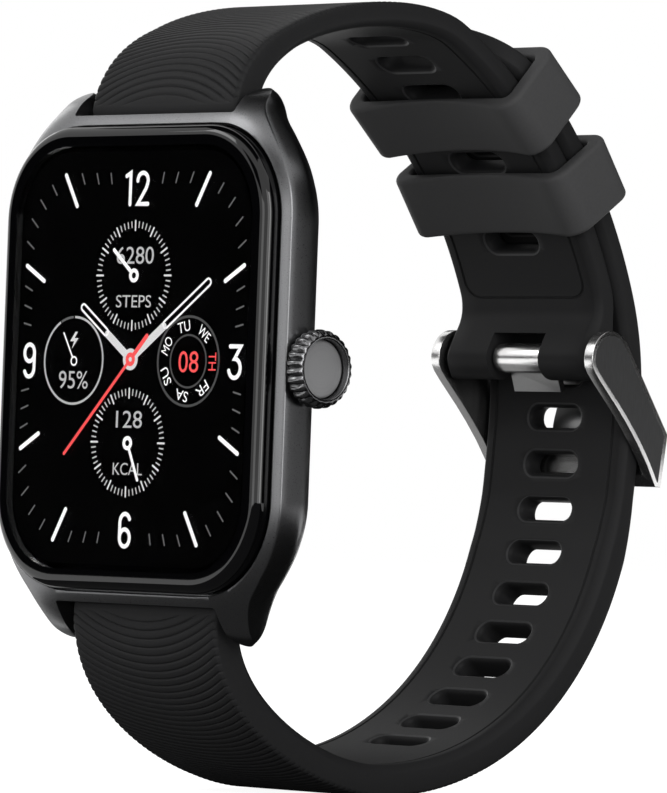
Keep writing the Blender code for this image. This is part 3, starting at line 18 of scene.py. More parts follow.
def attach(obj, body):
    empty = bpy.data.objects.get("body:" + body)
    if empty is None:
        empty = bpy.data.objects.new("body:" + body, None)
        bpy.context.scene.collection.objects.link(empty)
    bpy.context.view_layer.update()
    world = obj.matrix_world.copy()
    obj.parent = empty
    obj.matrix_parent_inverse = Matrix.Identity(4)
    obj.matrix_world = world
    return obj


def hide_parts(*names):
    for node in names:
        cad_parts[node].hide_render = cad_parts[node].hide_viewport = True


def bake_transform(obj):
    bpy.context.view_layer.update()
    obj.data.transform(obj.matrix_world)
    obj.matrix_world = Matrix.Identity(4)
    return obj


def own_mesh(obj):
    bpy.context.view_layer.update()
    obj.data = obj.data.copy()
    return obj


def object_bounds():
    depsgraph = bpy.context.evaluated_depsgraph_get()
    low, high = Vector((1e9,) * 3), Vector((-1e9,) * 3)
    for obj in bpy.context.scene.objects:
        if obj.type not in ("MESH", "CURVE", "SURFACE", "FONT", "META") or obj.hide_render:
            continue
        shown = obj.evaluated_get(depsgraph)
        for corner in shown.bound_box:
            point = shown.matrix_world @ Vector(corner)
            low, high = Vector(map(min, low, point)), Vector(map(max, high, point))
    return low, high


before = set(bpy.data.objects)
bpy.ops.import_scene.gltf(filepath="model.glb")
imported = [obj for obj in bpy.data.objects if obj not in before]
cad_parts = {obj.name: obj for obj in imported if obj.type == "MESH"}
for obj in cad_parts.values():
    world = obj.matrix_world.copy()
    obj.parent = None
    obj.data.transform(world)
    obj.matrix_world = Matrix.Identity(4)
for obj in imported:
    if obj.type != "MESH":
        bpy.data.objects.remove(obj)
CAD_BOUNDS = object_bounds()

MM = 0.001
LOG = logging.getLogger("watch")
Colour = tuple[float, float, float]
Place = tuple[float, float, float]
Flat = tuple[float, float]


class Grain(Enum):
    """The kinds of fine pattern that break up a finish."""

    BLASTED = "blasted"
    BRUSHED = "brushed"
    TURNED = "turned"
    MOULDED = "moulded"
    PIXELS = "pixels"


class GrainGroup:
    """The shader node group of one kind of grain, built once and shared by the finishes."""

    INPUTS = (
        ("Colour", "NodeSocketColor"),
        ("Size", "NodeSocketFloat"),
        ("Share", "NodeSocketFloat"),
        ("Roughness", "NodeSocketFloat"),
        ("Spread", "NodeSocketFloat"),
        ("Centre", "NodeSocketVector"),
        ("Mask", "NodeSocketVector"),
    )
    OUTPUTS = (
        ("Colour", "NodeSocketColor"),
        ("Roughness", "NodeSocketFloat"),
        ("Height", "NodeSocketFloat"),
    )

    def __init__(self, grain: Grain) -> None:
        """Keep the kind of grain.

        Args:
            grain: The kind of pattern that the group gives.
        """
        self.grain = grain

    def tree(self) -> bpy.types.NodeTree:
        """Return the group's node tree, made on first use."""
        name = "grain_" + self.grain.value
        found = bpy.data.node_groups.get(name)
        if found:
            return found
        tree = bpy.data.node_groups.new(name, "ShaderNodeTree")
        for label, kind in self.INPUTS:
            tree.interface.new_socket(name=label, in_out="INPUT", socket_type=kind)
        for label, kind in self.OUTPUTS:
            tree.interface.new_socket(name=label, in_out="OUTPUT", socket_type=kind)
        entry = tree.nodes.new("NodeGroupInput")
        result = tree.nodes.new("NodeGroupOutput")
        pattern = self.pattern(tree, entry)
        self.outlet(tree, entry, result, pattern)
        return tree

    def pattern(self, tree: bpy.types.NodeTree, entry: bpy.types.Node) -> bpy.types.NodeSocket:
        """Add the nodes of the pattern.

        Args:
            tree: The group's node tree.
            entry: The group's input node.

        Returns:
            The socket that gives the pattern from 0 to 1.
        """
        place = tree.nodes.new("ShaderNodeTexCoord").outputs["Object"]
        centred = self.vector(tree, "SUBTRACT", place, entry.outputs["Centre"])
        masked = self.vector(tree, "MULTIPLY", centred, entry.outputs["Mask"])
        inverse = self.number(tree, "DIVIDE", 1.0, entry.outputs["Size"])
        if self.grain is Grain.TURNED:
            length = tree.nodes.new("ShaderNodeVectorMath")
            length.operation = "LENGTH"
            tree.links.new(masked, length.inputs[0])
            ring = self.number(tree, "MULTIPLY", length.outputs["Value"], inverse)
            noise = tree.nodes.new("ShaderNodeTexNoise")
            noise.noise_dimensions = "1D"
            noise.inputs["Scale"].default_value = 1.0
            noise.inputs["Detail"].default_value = 2.0
            tree.links.new(ring, noise.inputs["W"])
            return noise.outputs["Fac"]
        scaled = tree.nodes.new("ShaderNodeVectorMath")
        scaled.operation = "SCALE"
        tree.links.new(masked, scaled.inputs[0])
        tree.links.new(inverse, scaled.inputs["Scale"])
        if self.grain is Grain.PIXELS:
            parts = tree.nodes.new("ShaderNodeSeparateXYZ")
            tree.links.new(scaled.outputs["Vector"], parts.inputs["Vector"])
            across = self.number(tree, "SINE", parts.outputs["X"], 0.0)
            along = self.number(tree, "SINE", parts.outputs["Z"], 0.0)
            both = self.number(tree, "MULTIPLY", across, along)
            half = self.number(tree, "MULTIPLY", both, 0.5)
            return self.number(tree, "ADD", half, 0.5)
        noise = tree.nodes.new("ShaderNodeTexNoise")
        noise.inputs["Scale"].default_value = 1.0
        noise.inputs["Detail"].default_value = 3.0 if self.grain is Grain.MOULDED else 1.0
        tree.links.new(scaled.outputs["Vector"], noise.inputs["Vector"])
        return noise.outputs["Fac"]

    def outlet(
        self,
        tree: bpy.types.NodeTree,
        entry: bpy.types.Node,
        result: bpy.types.Node,
        pattern: bpy.types.NodeSocket,
    ) -> None:
        """Turn the pattern into a colour, a roughness and a height.

        Args:
            tree: The group's node tree.
            entry: The group's input node.
            result: The group's output node.
            pattern: The pattern from 0 to 1.
        """
        level = self.number(tree, "SUBTRACT", pattern, 0.5)
        doubled = self.number(tree, "MULTIPLY", level, 2.0)
        tint = self.number(tree, "MULTIPLY", doubled, entry.outputs["Share"])
        gain = self.number(tree, "ADD", tint, 1.0)
        shade = tree.nodes.new("ShaderNodeVectorMath")
        shade.operation = "SCALE"
        tree.links.new(entry.outputs["Colour"], shade.inputs[0])
        tree.links.new(gain, shade.inputs["Scale"])
        tree.links.new(shade.outputs["Vector"], result.inputs["Colour"])
        spread = self.number(tree, "MULTIPLY", doubled, entry.outputs["Spread"])
        rough = self.number(tree, "ADD", spread, entry.outputs["Roughness"])
        tree.links.new(rough, result.inputs["Roughness"])
        tree.links.new(pattern, result.inputs["Height"])

    @staticmethod
    def number(
        tree: bpy.types.NodeTree,
        operation: str,
        first: bpy.types.NodeSocket | float,
        second: bpy.types.NodeSocket | float,
    ) -> bpy.types.NodeSocket:
        """Add a math node.

        Args:
            tree: The node tree.
            operation: The math node's operation.
            first: A socket or a plain number.
            second: A socket or a plain number.

        Returns:
            The node's output socket.
        """
        node = tree.nodes.new("ShaderNodeMath")
        node.operation = operation
        for slot, value in zip(node.inputs, (first, second)):
            if isinstance(value, float):
                slot.default_value = value
            else:
                tree.links.new(value, slot)
        return node.outputs["Value"]

    @staticmethod
    def vector(
        tree: bpy.types.NodeTree,
        operation: str,
        first: bpy.types.NodeSocket,
        second: bpy.types.NodeSocket,
    ) -> bpy.types.NodeSocket:
        """Add a vector math node of two sockets.

        Args:
            tree: The node tree.
            operation: The node's operation.
            first: The first vector socket.
            second: The second vector socket.

        Returns:
            The node's output socket.
        """
        node = tree.nodes.new("ShaderNodeVectorMath")
        node.operation = operation
        tree.links.new(first, node.inputs[0])
        tree.links.new(second, node.inputs[1])
        return node.outputs["Vector"]


@dataclass(frozen=True)
class Finish:
    """A procedural surface finish: a colour and a roughness that fine grain breaks up."""

    name: str
    colour: Colour
    roughness: float
    metallic: float = 0.0
    specular: float = 0.5
    coat: float = 0.0
    grain: Grain = Grain.BLASTED
    size: float = 0.1 * MM
    share: float = 0.12
    spread: float = 0.04
    bump: float = 0.1
    centre: Place = (0.0, 0.0, 0.0)
    mask: Place = (1.0, 1.0, 1.0)
    glow: float = 0.0
    clear: bool = False

    def material(self) -> bpy.types.Material:
        """Return the finish as a material, made on first use."""
        found = bpy.data.materials.get(self.name)
        if found:
            return found
        material = bpy.data.materials.new(self.name)
        material.use_nodes = True
        tree = material.node_tree
        shader = tree.nodes["Principled BSDF"]
        grain = tree.nodes.new("ShaderNodeGroup")
        grain.node_tree = GrainGroup(self.grain).tree()
        grain.inputs["Colour"].default_value = (*self.colour, 1.0)
        grain.inputs["Size"].default_value = self.size
        grain.inputs["Share"].default_value = self.share
        grain.inputs["Roughness"].default_value = self.roughness
        grain.inputs["Spread"].default_value = self.spread
        grain.inputs["Centre"].default_value = self.centre
        grain.inputs["Mask"].default_value = self.mask
        shader.inputs["Metallic"].default_value = self.metallic
        shader.inputs["Specular IOR Level"].default_value = self.specular
        shader.inputs["Coat Weight"].default_value = self.coat
        if self.clear:
            shader.inputs["Transmission Weight"].default_value = 1.0
            shader.inputs["IOR"].default_value = 1.5
        if self.glow:
            shader.inputs["Base Color"].default_value = (0.0, 0.0, 0.0, 1.0)
            shader.inputs["Emission Strength"].default_value = self.glow
            tree.links.new(grain.outputs["Colour"], shader.inputs["Emission Color"])
        else:
            tree.links.new(grain.outputs["Colour"], shader.inputs["Base Color"])
        tree.links.new(grain.outputs["Roughness"], shader.inputs["Roughness"])
        if self.bump:
            bump = tree.nodes.new("ShaderNodeBump")
            bump.inputs["Strength"].default_value = self.bump
            bump.inputs["Distance"].default_value = 0.2 * self.size
            tree.links.new(grain.outputs["Height"], bump.inputs["Height"])
            tree.links.new(bump.outputs["Normal"], shader.inputs["Normal"])
        return material


CROWN_CENTRE = (0.0, -6.6 * MM, -0.6 * MM)
ACROSS_X = (0.0, 1.0, 1.0)
ACROSS_Y = (1.0, 0.0, 1.0)

ANODISED = Finish("anodised_case", (0.165, 0.166, 0.170), 0.29, 1.0, size=0.09 * MM, share=0.14, bump=0.25)
CROWN_METAL = Finish("anodised_crown", (0.19, 0.19, 0.194), 0.24, 1.0, size=0.08 * MM, bump=0.1)
CROWN_DISC = Finish(
    "turned_crown_cap", (0.30, 0.30, 0.305), 0.42, 0.45,
    grain=Grain.TURNED, size=0.05 * MM, share=0.25, bump=0.2, centre=CROWN_CENTRE, mask=ACROSS_X,
)
GLASS_INK = Finish("inked_glass_border", (0.0015, 0.0015, 0.0018), 0.03, size=0.5 * MM, spread=0.01, bump=0.0)
CLEAR_GLASS = Finish("clear_glass", (1.0, 1.0, 1.0), 0.0, share=0.0, spread=0.0, bump=0.0, clear=True)
PANEL = Finish(
    "display_panel", (0.0012, 0.0012, 0.0014), 0.40, specular=0.01,
    grain=Grain.PIXELS, size=0.03 * MM, share=0.3, bump=0.0,
)
SILICONE = Finish(
    "strap_silicone", (0.0180, 0.0180, 0.0186), 0.50, specular=0.08,
    grain=Grain.MOULDED, size=0.22 * MM, share=0.12, spread=0.05, bump=0.12,
)
# Lighter, glossier silicone for the slots' lips: a painted highlight where their rounded edges catch the light.
LIP_HIGHLIGHT = Finish(
    "silicone_lip_painted_highlight", (0.040, 0.040, 0.041), 0.45, specular=0.2,
    grain=Grain.MOULDED, size=0.22 * MM, share=0.2, spread=0.05, bump=0.1,
)
KEEPER_RUBBER = Finish(
    "moulded_keeper", (0.058, 0.058, 0.059), 0.60, specular=0.12,
    grain=Grain.MOULDED, size=0.25 * MM, share=0.1, spread=0.05, bump=0.12,
)
SEAL_RUBBER = Finish(
    "moulded_seal", (0.006, 0.006, 0.006), 0.75, specular=0.2,
    grain=Grain.MOULDED, size=0.2 * MM, bump=0.1,
)
POLISHED = Finish("softly_polished_steel", (0.82, 0.815, 0.810), 0.24, 1.0, size=0.6 * MM, share=0.03, spread=0.02, bump=0.0)
SATIN_PLATE = Finish(
    "satin_buckle_side", (0.120, 0.120, 0.122), 0.38, 1.0,
    grain=Grain.BRUSHED, size=0.06 * MM, share=0.18, bump=0.1, mask=(1.0, 1.0, 0.06),
)
SATIN_BLADE = Finish(
    "satin_prong", (0.42, 0.42, 0.42), 0.34, 1.0,
    grain=Grain.BRUSHED, size=0.06 * MM, share=0.1, bump=0.08, mask=(1.0, 1.0, 0.06),
)
STEEL = Finish("turned_steel", (0.50, 0.50, 0.51), 0.30, 1.0, grain=Grain.BRUSHED, size=0.06 * MM, mask=(0.1, 1.0, 1.0))
GOLD = Finish("gilt_contact", (0.78, 0.56, 0.22), 0.24, 1.0, size=0.15 * MM, share=0.06, bump=0.05)
BOARD = Finish("circuit_board", (0.010, 0.075, 0.036), 0.5, size=0.6 * MM, share=0.3, bump=0.1)
WRAP = Finish("foil_wrap", (0.10, 0.10, 0.11), 0.45, 0.2, size=0.8 * MM, share=0.1, bump=0.15)
BACK_PLASTIC = Finish(
    "back_plastic", (0.011, 0.011, 0.012), 0.40,
    grain=Grain.BLASTED, size=0.12 * MM, share=0.15, bump=0.2,
)
SENSOR_GLASS = Finish("sensor_glass", (0.004, 0.004, 0.005), 0.06, size=0.4 * MM, spread=0.02, bump=0.0)
OPTIC = Finish("sensor_optic", (0.030, 0.012, 0.012), 0.12, size=0.2 * MM, share=0.3, bump=0.0)
OPTIC_RING = Finish(
    "sensor_print", (0.16, 0.16, 0.165), 0.4,
    grain=Grain.TURNED, size=0.1 * MM, share=0.1, bump=0.0, mask=ACROSS_Y,
)


def glow(name: str, colour: Colour, strength: float = 1.08) -> Finish:
    """Return a lit display finish.

    Args:
        name: The finish's name.
        colour: The lit colour.
        strength: How strongly it glows.

    Returns:
        The finish.
    """
    return Finish(
        name, colour, 0.4, specular=0.0,
        grain=Grain.PIXELS, size=0.012 * MM, share=0.05, spread=0.0, bump=0.0, glow=strength,
    )


LIT_WHITE = glow("lit_white", (1.0, 1.0, 1.0))
LIT_SILVER = glow("lit_silver", (0.72, 0.72, 0.72))
LIT_SOFT = glow("lit_soft_white", (0.50, 0.50, 0.50))
LIT_GREY = glow("lit_grey", (0.13, 0.13, 0.13))
LIT_DIM = glow("lit_dim_grey", (0.075, 0.075, 0.075))
LIT_RED = glow("lit_red", (1.0, 0.105, 0.105))


class Bench:
    """The work bench: selecting, editing and finishing meshes with Blender's operators."""

    @staticmethod
    def take(item: bpy.types.Object) -> None:
        """Make one object the only selected and active one.

        Args:
            item: The object to work on.
        """
        if bpy.context.mode != "OBJECT":
            bpy.ops.object.mode_set(mode="OBJECT")
        bpy.ops.object.select_all(action="DESELECT")
        item.select_set(True)
        bpy.context.view_layer.objects.active = item

    @staticmethod
    def pick_faces(item: bpy.types.Object, wanted: Callable[[Vector, Vector], bool]) -> None:
        """Select faces by their place and normal and leave the object in edit mode.

        Args:
            item: The object to work on.
            wanted: Says from a face's centre and normal whether it is selected.
        """
        Bench.take(item)
        bpy.ops.object.mode_set(mode="EDIT")
        bpy.ops.mesh.select_mode(type="FACE")
        bpy.ops.mesh.select_all(action="DESELECT")
        bpy.ops.object.mode_set(mode="OBJECT")
        for face in item.data.polygons:
            face.select = wanted(face.center, face.normal)
        bpy.ops.object.mode_set(mode="EDIT")

    @staticmethod
    def leave() -> None:
        """Go back to object mode."""
        bpy.ops.object.mode_set(mode="OBJECT")

    @staticmethod
    def tidy(item: bpy.types.Object) -> None:
        """Merge doubles and turn every face outwards.

        Args:
            item: The object to work on.
        """
        Bench.take(item)
        bpy.ops.object.mode_set(mode="EDIT")
        bpy.ops.mesh.select_all(action="SELECT")
        bpy.ops.mesh.remove_doubles(threshold=1e-7)
        bpy.ops.mesh.normals_make_consistent(inside=False)
        Bench.leave()

    @staticmethod
    def apply(item: bpy.types.Object, step: bpy.types.Modifier) -> None:
        """Apply one modifier.

        Args:
            item: The object that has the modifier.
            step: The modifier.
        """
        Bench.take(item)
        bpy.ops.object.modifier_apply(modifier=step.name)

    @staticmethod
    def bevel(item: bpy.types.Object, width: float, segments: int = 3, angle: float = 30.0) -> None:
        """Round the sharp edges of an object.

        Args:
            item: The object to work on.
            width: The width of the rounding.
            segments: How many faces it has.
            angle: Edges sharper than this are rounded, in degrees.
        """
        step = item.modifiers.new("edges", "BEVEL")
        step.width = width
        step.segments = segments
        step.limit_method = "ANGLE"
        step.angle_limit = math.radians(angle)
        step.use_clamp_overlap = True
        step.miter_outer = "MITER_ARC"
        Bench.apply(item, step)

    @staticmethod
    def cut(item: bpy.types.Object, tool: bpy.types.Object) -> None:
        """Cut a tool body out of an object and remove the tool.

        Args:
            item: The object to work on.
            tool: The body that is taken out of it.
        """
        step = item.modifiers.new("cut", "BOOLEAN")
        step.operation = "DIFFERENCE"
        step.solver = "EXACT"
        step.object = tool
        Bench.apply(item, step)
        bpy.data.objects.remove(tool, do_unlink=True)

    @staticmethod
    def join(name: str, items: Sequence[bpy.types.Object]) -> bpy.types.Object:
        """Join objects into one.

        Args:
            name: The name of the joined object.
            items: The objects, of which the first keeps its data.

        Returns:
            The joined object.
        """
        Bench.take(items[0])
        for item in items[1:]:
            item.select_set(True)
        bpy.ops.object.join()
        items[0].name = name
        return items[0]

    @staticmethod
    def settle(
        item: bpy.types.Object,
        finishes: Sequence[Finish],
        body: str,
        slot: str,
        nodes: Sequence[str] = (),
        angle: float = 35.0,
    ) -> bpy.types.Object:
        """Dress a finished piece and join it to the watch.

        Args:
            item: The piece, whose faces already name their finish by index.
            finishes: The finishes in the order of those indices.
            body: The body that the piece rides on.
            slot: The record's material slot.
            nodes: The CAD nodes that the piece stands for.
            angle: Edges sharper than this stay sharp, in degrees.

        Returns:
            The piece.
        """
        Bench.take(item)
        bpy.ops.object.transform_apply(location=True, rotation=True, scale=True)
        bpy.ops.object.shade_smooth_by_angle(angle=math.radians(angle))
        keep = [face.material_index for face in item.data.polygons]
        item.data.materials.clear()
        for finish in finishes:
            item.data.materials.append(finish.material())
        item.data.polygons.foreach_set("material_index", keep)
        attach(item, body)
        Bench.register(item, slot, nodes)
        return item

    @staticmethod
    def register(item: bpy.types.Object, slot: str, nodes: Sequence[str]) -> None:
        """Hide the CAD nodes that a piece stands for and log the piece with its face count and slot.

        Args:
            item: The piece.
            slot: The record's material slot.
            nodes: The CAD nodes that the piece stands for.
        """
        if nodes:
            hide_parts(*nodes)
        LOG.info("%s: %d faces on slot %s", item.name, len(item.data.polygons), slot)


class Form:
    """Meshes that are skinned from rings of points."""

    @staticmethod
    def mesh(name: str, points: np.ndarray, faces: list[tuple[int, ...]]) -> bpy.types.Object:
        """Return an object made from points and faces.

        Args:
            name: The object's name.
            points: The points, one row each.
            faces: The faces as point numbers.

        Returns:
            The object.
        """
        data = bpy.data.meshes.new(name)
        data.from_pydata(points.tolist(), [], faces)
        item = bpy.data.objects.new(name, data)
        bpy.context.scene.collection.objects.link(item)
        return item

    @staticmethod
    def skin(name: str, rings: np.ndarray, endless: bool = False) -> bpy.types.Object:
        """Skin closed rings of equal point count.

        Args:
            name: The object's name.
            rings: An array of rings, points and coordinates.
            endless: Join the last ring to the first instead of capping both ends.

        Returns:
            The closed object with its faces outwards.
        """
        count, size = rings.shape[:2]
        faces = []
        for row in range(count if endless else count - 1):
            below = row * size
            above = (row + 1) % count * size
            for index in range(size):
                ahead = (index + 1) % size
                faces.append((below + index, below + ahead, above + ahead, above + index))
        if not endless:
            faces.append(tuple(range(size)))
            faces.append(tuple(range((count - 1) * size, count * size)))
        item = Form.mesh(name, rings.reshape(-1, 3), faces)
        Bench.tidy(item)
        return item

    @staticmethod
    def rounded(half: Flat, corner: float, steps: int = 16, straight: int = 1) -> np.ndarray:
        """Return a rounded rectangle's outline.

        Args:
            half: Half of its width and height.
            corner: The corner radius.
            steps: Points on each corner.
            straight: How many parts each straight side is split into.

        Returns:
            The points, anticlockwise from the right side.
        """
        points = []
        for quarter, (side, end) in enumerate(((1, 1), (-1, 1), (-1, -1), (1, -1))):
            turns = np.radians(quarter * 90.0 + np.linspace(0.0, 90.0, steps))
            centre = np.array([side * (half[0] - corner), end * (half[1] - corner)])
            points.append(centre + corner * np.stack([np.cos(turns), np.sin(turns)], axis=1))
        outline = np.concatenate(points)
        if straight == 1:
            return outline
        parts = []
        for quarter in range(4):
            arc = outline[quarter * steps : (quarter + 1) * steps]
            following = outline[(quarter + 1) * steps % len(outline)]
            shares = np.linspace(0.0, 1.0, straight + 1)[1:-1, None]
            parts += [arc, arc[-1] + shares * (following - arc[-1])]
        return np.concatenate(parts)

    @staticmethod
    def prism(outline: np.ndarray, axis: int, low: float, high: float) -> bpy.types.Object:
        """Return a tool body: an outline drawn out along X or Y.

        Args:
            outline: The points on the two other axes.
            axis: 0 for X or 1 for Y.
            low: Where it starts.
            high: Where it ends.

        Returns:
            The closed body.
        """
        rings = [np.insert(outline, axis, level, axis=1) for level in (low, high)]
        return Form.skin("tool", np.array(rings))

    @staticmethod
    def copy_node(node: str, name: str, flatten: float = 0.3) -> bpy.types.Object:
        """Return a merged copy of a CAD node.

        Args:
            node: The CAD node's name.
            name: The copy's name.
            flatten: Faces within this angle are joined, in degrees.

        Returns:
            The copy.
        """
        item = bpy.data.objects.new(name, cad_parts[node].data.copy())
        bpy.context.scene.collection.objects.link(item)
        item.data.materials.clear()
        Bench.take(item)
        bpy.ops.mesh.customdata_custom_splitnormals_clear()
        bpy.ops.object.mode_set(mode="EDIT")
        bpy.ops.mesh.select_all(action="SELECT")
        bpy.ops.mesh.remove_doubles(threshold=1e-6)
        bpy.ops.mesh.mark_sharp(clear=True)
        if flatten:
            bpy.ops.mesh.dissolve_limited(angle_limit=math.radians(flatten))
        Bench.leave()
        return item


def arc(centre: Flat, radii: Flat, start: float, end: float, steps: int = 14) -> list[Flat]:
    """Return points along an elliptic arc.

    Args:
        centre: Its centre.
        radii: Its half width and half height.
        start: Where it starts, in degrees anticlockwise from the right.
        end: Where it ends.
        steps: How many points it has.

    Returns:
        The points.
    """
    turns = np.radians(np.linspace(start, end, steps))
    return [(centre[0] + radii[0] * math.cos(a), centre[1] + radii[1] * math.sin(a)) for a in turns]


def span(start: Flat, heading: float, reach: float, end: Flat, end_heading: float, end_reach: float) -> np.ndarray:
    """Return points on a cubic curve between two places with given headings.

    Args:
        start: Where it starts.
        heading: Its first heading in degrees.
        reach: How strongly it keeps that heading.
        end: Where it ends.
        end_heading: Its last heading in degrees.
        end_reach: How strongly it keeps that one.

    Returns:
        The points.
    """
    first, last = np.array(start), np.array(end)
    begin, finish = math.radians(heading), math.radians(end_heading)
    second = first + reach * np.array([math.cos(begin), math.sin(begin)])
    third = last - end_reach * np.array([math.cos(finish), math.sin(finish)])
    t = np.linspace(0.0, 1.0, 160)[:, None]
    u = 1.0 - t
    return first * u**3 + 3 * second * t * u**2 + 3 * third * t**2 * u + last * t**3


def ray_exit(origin: Sequence[float], way: Sequence[float], half: Flat, corner: float) -> float:
    """Return how far a ray runs until it leaves a rounded rectangle.

    Args:
        origin: Where the ray starts, inside the rectangle.
        way: Its unit direction.
        half: Half of the rectangle's width and height.
        corner: Its corner radius.

    Returns:
        The distance.
    """
    low, high = 0.0, half[0] + half[1]
    for _ in range(45):
        reach = (low + high) / 2
        x = abs(origin[0] + way[0] * reach) - half[0] + corner
        z = abs(origin[1] + way[1] * reach) - half[1] + corner
        outside = math.hypot(max(x, 0.0), max(z, 0.0)) + min(max(x, z), 0.0)
        if outside > corner:
            high = reach
        else:
            low = reach
    return low


@dataclass
class Studio:
    """The floor, the white surround, the lamps and the camera."""

    floor_drop: float = 0.45 * MM
    floor_size: float = 8.0
    floor_colour: Colour = (0.42, 0.42, 0.42)
    floor_white: float = 0.92
    ambient: float = 0.55
    camera_place: Place = (0.4456, -0.4176, -0.0146)
    camera_right: Place = (0.6959, 0.7172, 0.0377)
    camera_down: Place = (0.012, 0.0408, -0.9991)
    camera_ahead: Place = (-0.7181, 0.6957, 0.0198)
    lens: float = 315.33

    def build(self) -> None:
        """Make everything round the watch."""
        self.make_floor()
        self.make_world()
        self.make_lamp("front_box", (0.043, -0.62, 0.01), (0.22, 0.26), 1.5)
        self.make_lamp("key_box", (-0.336, -0.373, 0.364), (0.22, 0.18), 3.4)
        self.make_lamp("camera_box", (0.53, -0.33, 0.05), (0.20, 0.60), 1.8)
        self.make_lamp("right_strip", (0.61, -0.10, 0.05), (0.20, 0.60), 4.5)
        self.make_lamp("left_strip", (-0.62, 0.16, 0.05), (0.10, 0.60), 2.5)
        self.make_lamp("top_fill", (0.20, -0.25, 0.52), (0.40, 0.30), 0.4, False)
        self.make_lamp("low_fill", (0.12, -0.60, 0.03), (0.50, 0.11), 7.0, False)
        self.make_card("left_card", self.facing((-0.42, -0.40, 0.0)), (0.34, 0.24))
        self.make_card("right_card", self.facing((0.32, 0.50, 0.02)), (1.00, 0.90))
        self.make_card("back_card", self.facing((-0.262, 0.562, 0.02)), (0.60, 0.90))
        self.make_card("rear_card", self.facing((0.038, 0.437, 0.438)), (0.60, 0.40))
        self.make_card("top_card", self.facing((0.0, -0.05, 0.62)), (0.50, 0.50))
        self.make_card("tip_card", self.facing((-0.303, -0.064, 0.537)), (0.44, 0.36))
        self.make_card("shoulder_card", self.facing((-0.098, -0.558, 0.252)), (0.26, 0.20))
        low = CAD_BOUNDS[0].z - 0.9 * self.floor_drop
        self.make_card("front_floor_card", Matrix.Translation((0.225, -0.403, low)), (0.55, 0.794), 0.08)
        self.make_card("left_floor_card", Matrix.Translation((-0.070, 0.050, low)), (0.08, 0.10), 0.25)
        self.make_card("right_floor_card", Matrix.Translation((0.235, 0.047, low)), (0.53, 0.106), 0.015)
        self.make_camera()
        bpy.context.scene.view_settings.view_transform = "Standard"

    def make_floor(self) -> None:
        """Make the pale floor, which shows white to the camera and keeps the shadow."""
        low = CAD_BOUNDS[0].z - self.floor_drop
        bpy.ops.object.select_all(action="DESELECT")
        bpy.ops.mesh.primitive_plane_add(size=self.floor_size, location=(0.0, 0.0, low))
        floor = bpy.context.active_object
        floor.name = "floor"
        material = bpy.data.materials.new("pale_floor")
        material.use_nodes = True
        tree = material.node_tree
        shader = tree.nodes["Principled BSDF"]
        shader.inputs["Base Color"].default_value = (*self.floor_colour, 1.0)
        shader.inputs["Roughness"].default_value = 0.9
        shader.inputs["Specular IOR Level"].default_value = 0.0
        shader.inputs["Emission Color"].default_value = (1.0, 1.0, 1.0, 1.0)
        path = tree.nodes.new("ShaderNodeLightPath")
        seen = self.seen_rays(tree, path)
        white = tree.nodes.new("ShaderNodeMath")
        white.operation = "MULTIPLY"
        white.inputs[1].default_value = self.floor_white
        tree.links.new(seen, white.inputs[0])
        tree.links.new(white.outputs["Value"], shader.inputs["Emission Strength"])
        floor.data.materials.append(material)

    @staticmethod
    def seen_rays(tree: bpy.types.NodeTree, path: bpy.types.Node) -> bpy.types.NodeSocket:
        """Return a socket that is 1 for camera, glossy and transmission rays.

        Args:
            tree: The node tree.
            path: Its Light Path node.

        Returns:
            The socket.
        """
        first = tree.nodes.new("ShaderNodeMath")
        first.operation = "MAXIMUM"
        tree.links.new(path.outputs["Is Camera Ray"], first.inputs[0])
        tree.links.new(path.outputs["Is Glossy Ray"], first.inputs[1])
        second = tree.nodes.new("ShaderNodeMath")
        second.operation = "MAXIMUM"
        tree.links.new(first.outputs["Value"], second.inputs[0])
        tree.links.new(path.outputs["Is Transmission Ray"], second.inputs[1])
        return second.outputs["Value"]

    def make_world(self) -> None:
        """Make the surround: white where it is seen and a soft ambient light elsewhere."""
        world = bpy.data.worlds.new("surround")
        bpy.context.scene.world = world
        world.use_nodes = True
        tree = world.node_tree
        back = tree.nodes["Background"]
        back.inputs["Color"].default_value = (1.0, 1.0, 1.0, 1.0)
        path = tree.nodes.new("ShaderNodeLightPath")
        seen = self.seen_rays(tree, path)
        level = tree.nodes.new("ShaderNodeMapRange")
        level.inputs["To Min"].default_value = self.ambient
        level.inputs["To Max"].default_value = 1.0
        tree.links.new(seen, level.inputs["Value"])
        tree.links.new(level.outputs["Result"], back.inputs["Strength"])

    @staticmethod
    def facing(place: Place) -> Matrix:
        """Return the turn of something at a place that faces the watch.

        Args:
            place: Where it stands.

        Returns:
            The four by four matrix.
        """
        ahead = Vector((0.0, 0.01, 0.0)) - Vector(place)
        turn = ahead.to_track_quat("-Z", "Y").to_matrix().to_4x4()
        return Matrix.Translation(Vector(place)) @ turn

    def make_lamp(self, name: str, place: Place, size: Flat, level: float, mirrored: bool = True) -> None:
        """Make one soft box.

        Args:
            name: Its name.
            place: Where it stands.
            size: Its width and height.
            level: How bright its face is, where 1 is white.
            mirrored: Whether polished surfaces show it.
        """
        lamp = bpy.data.lights.new(name, "AREA")
        lamp.shape = "RECTANGLE"
        lamp.size, lamp.size_y = size
        lamp.energy = level * math.pi * size[0] * size[1]
        item = bpy.data.objects.new(name, lamp)
        item.matrix_world = self.facing(place)
        item.visible_glossy = mirrored
        bpy.context.scene.collection.objects.link(item)

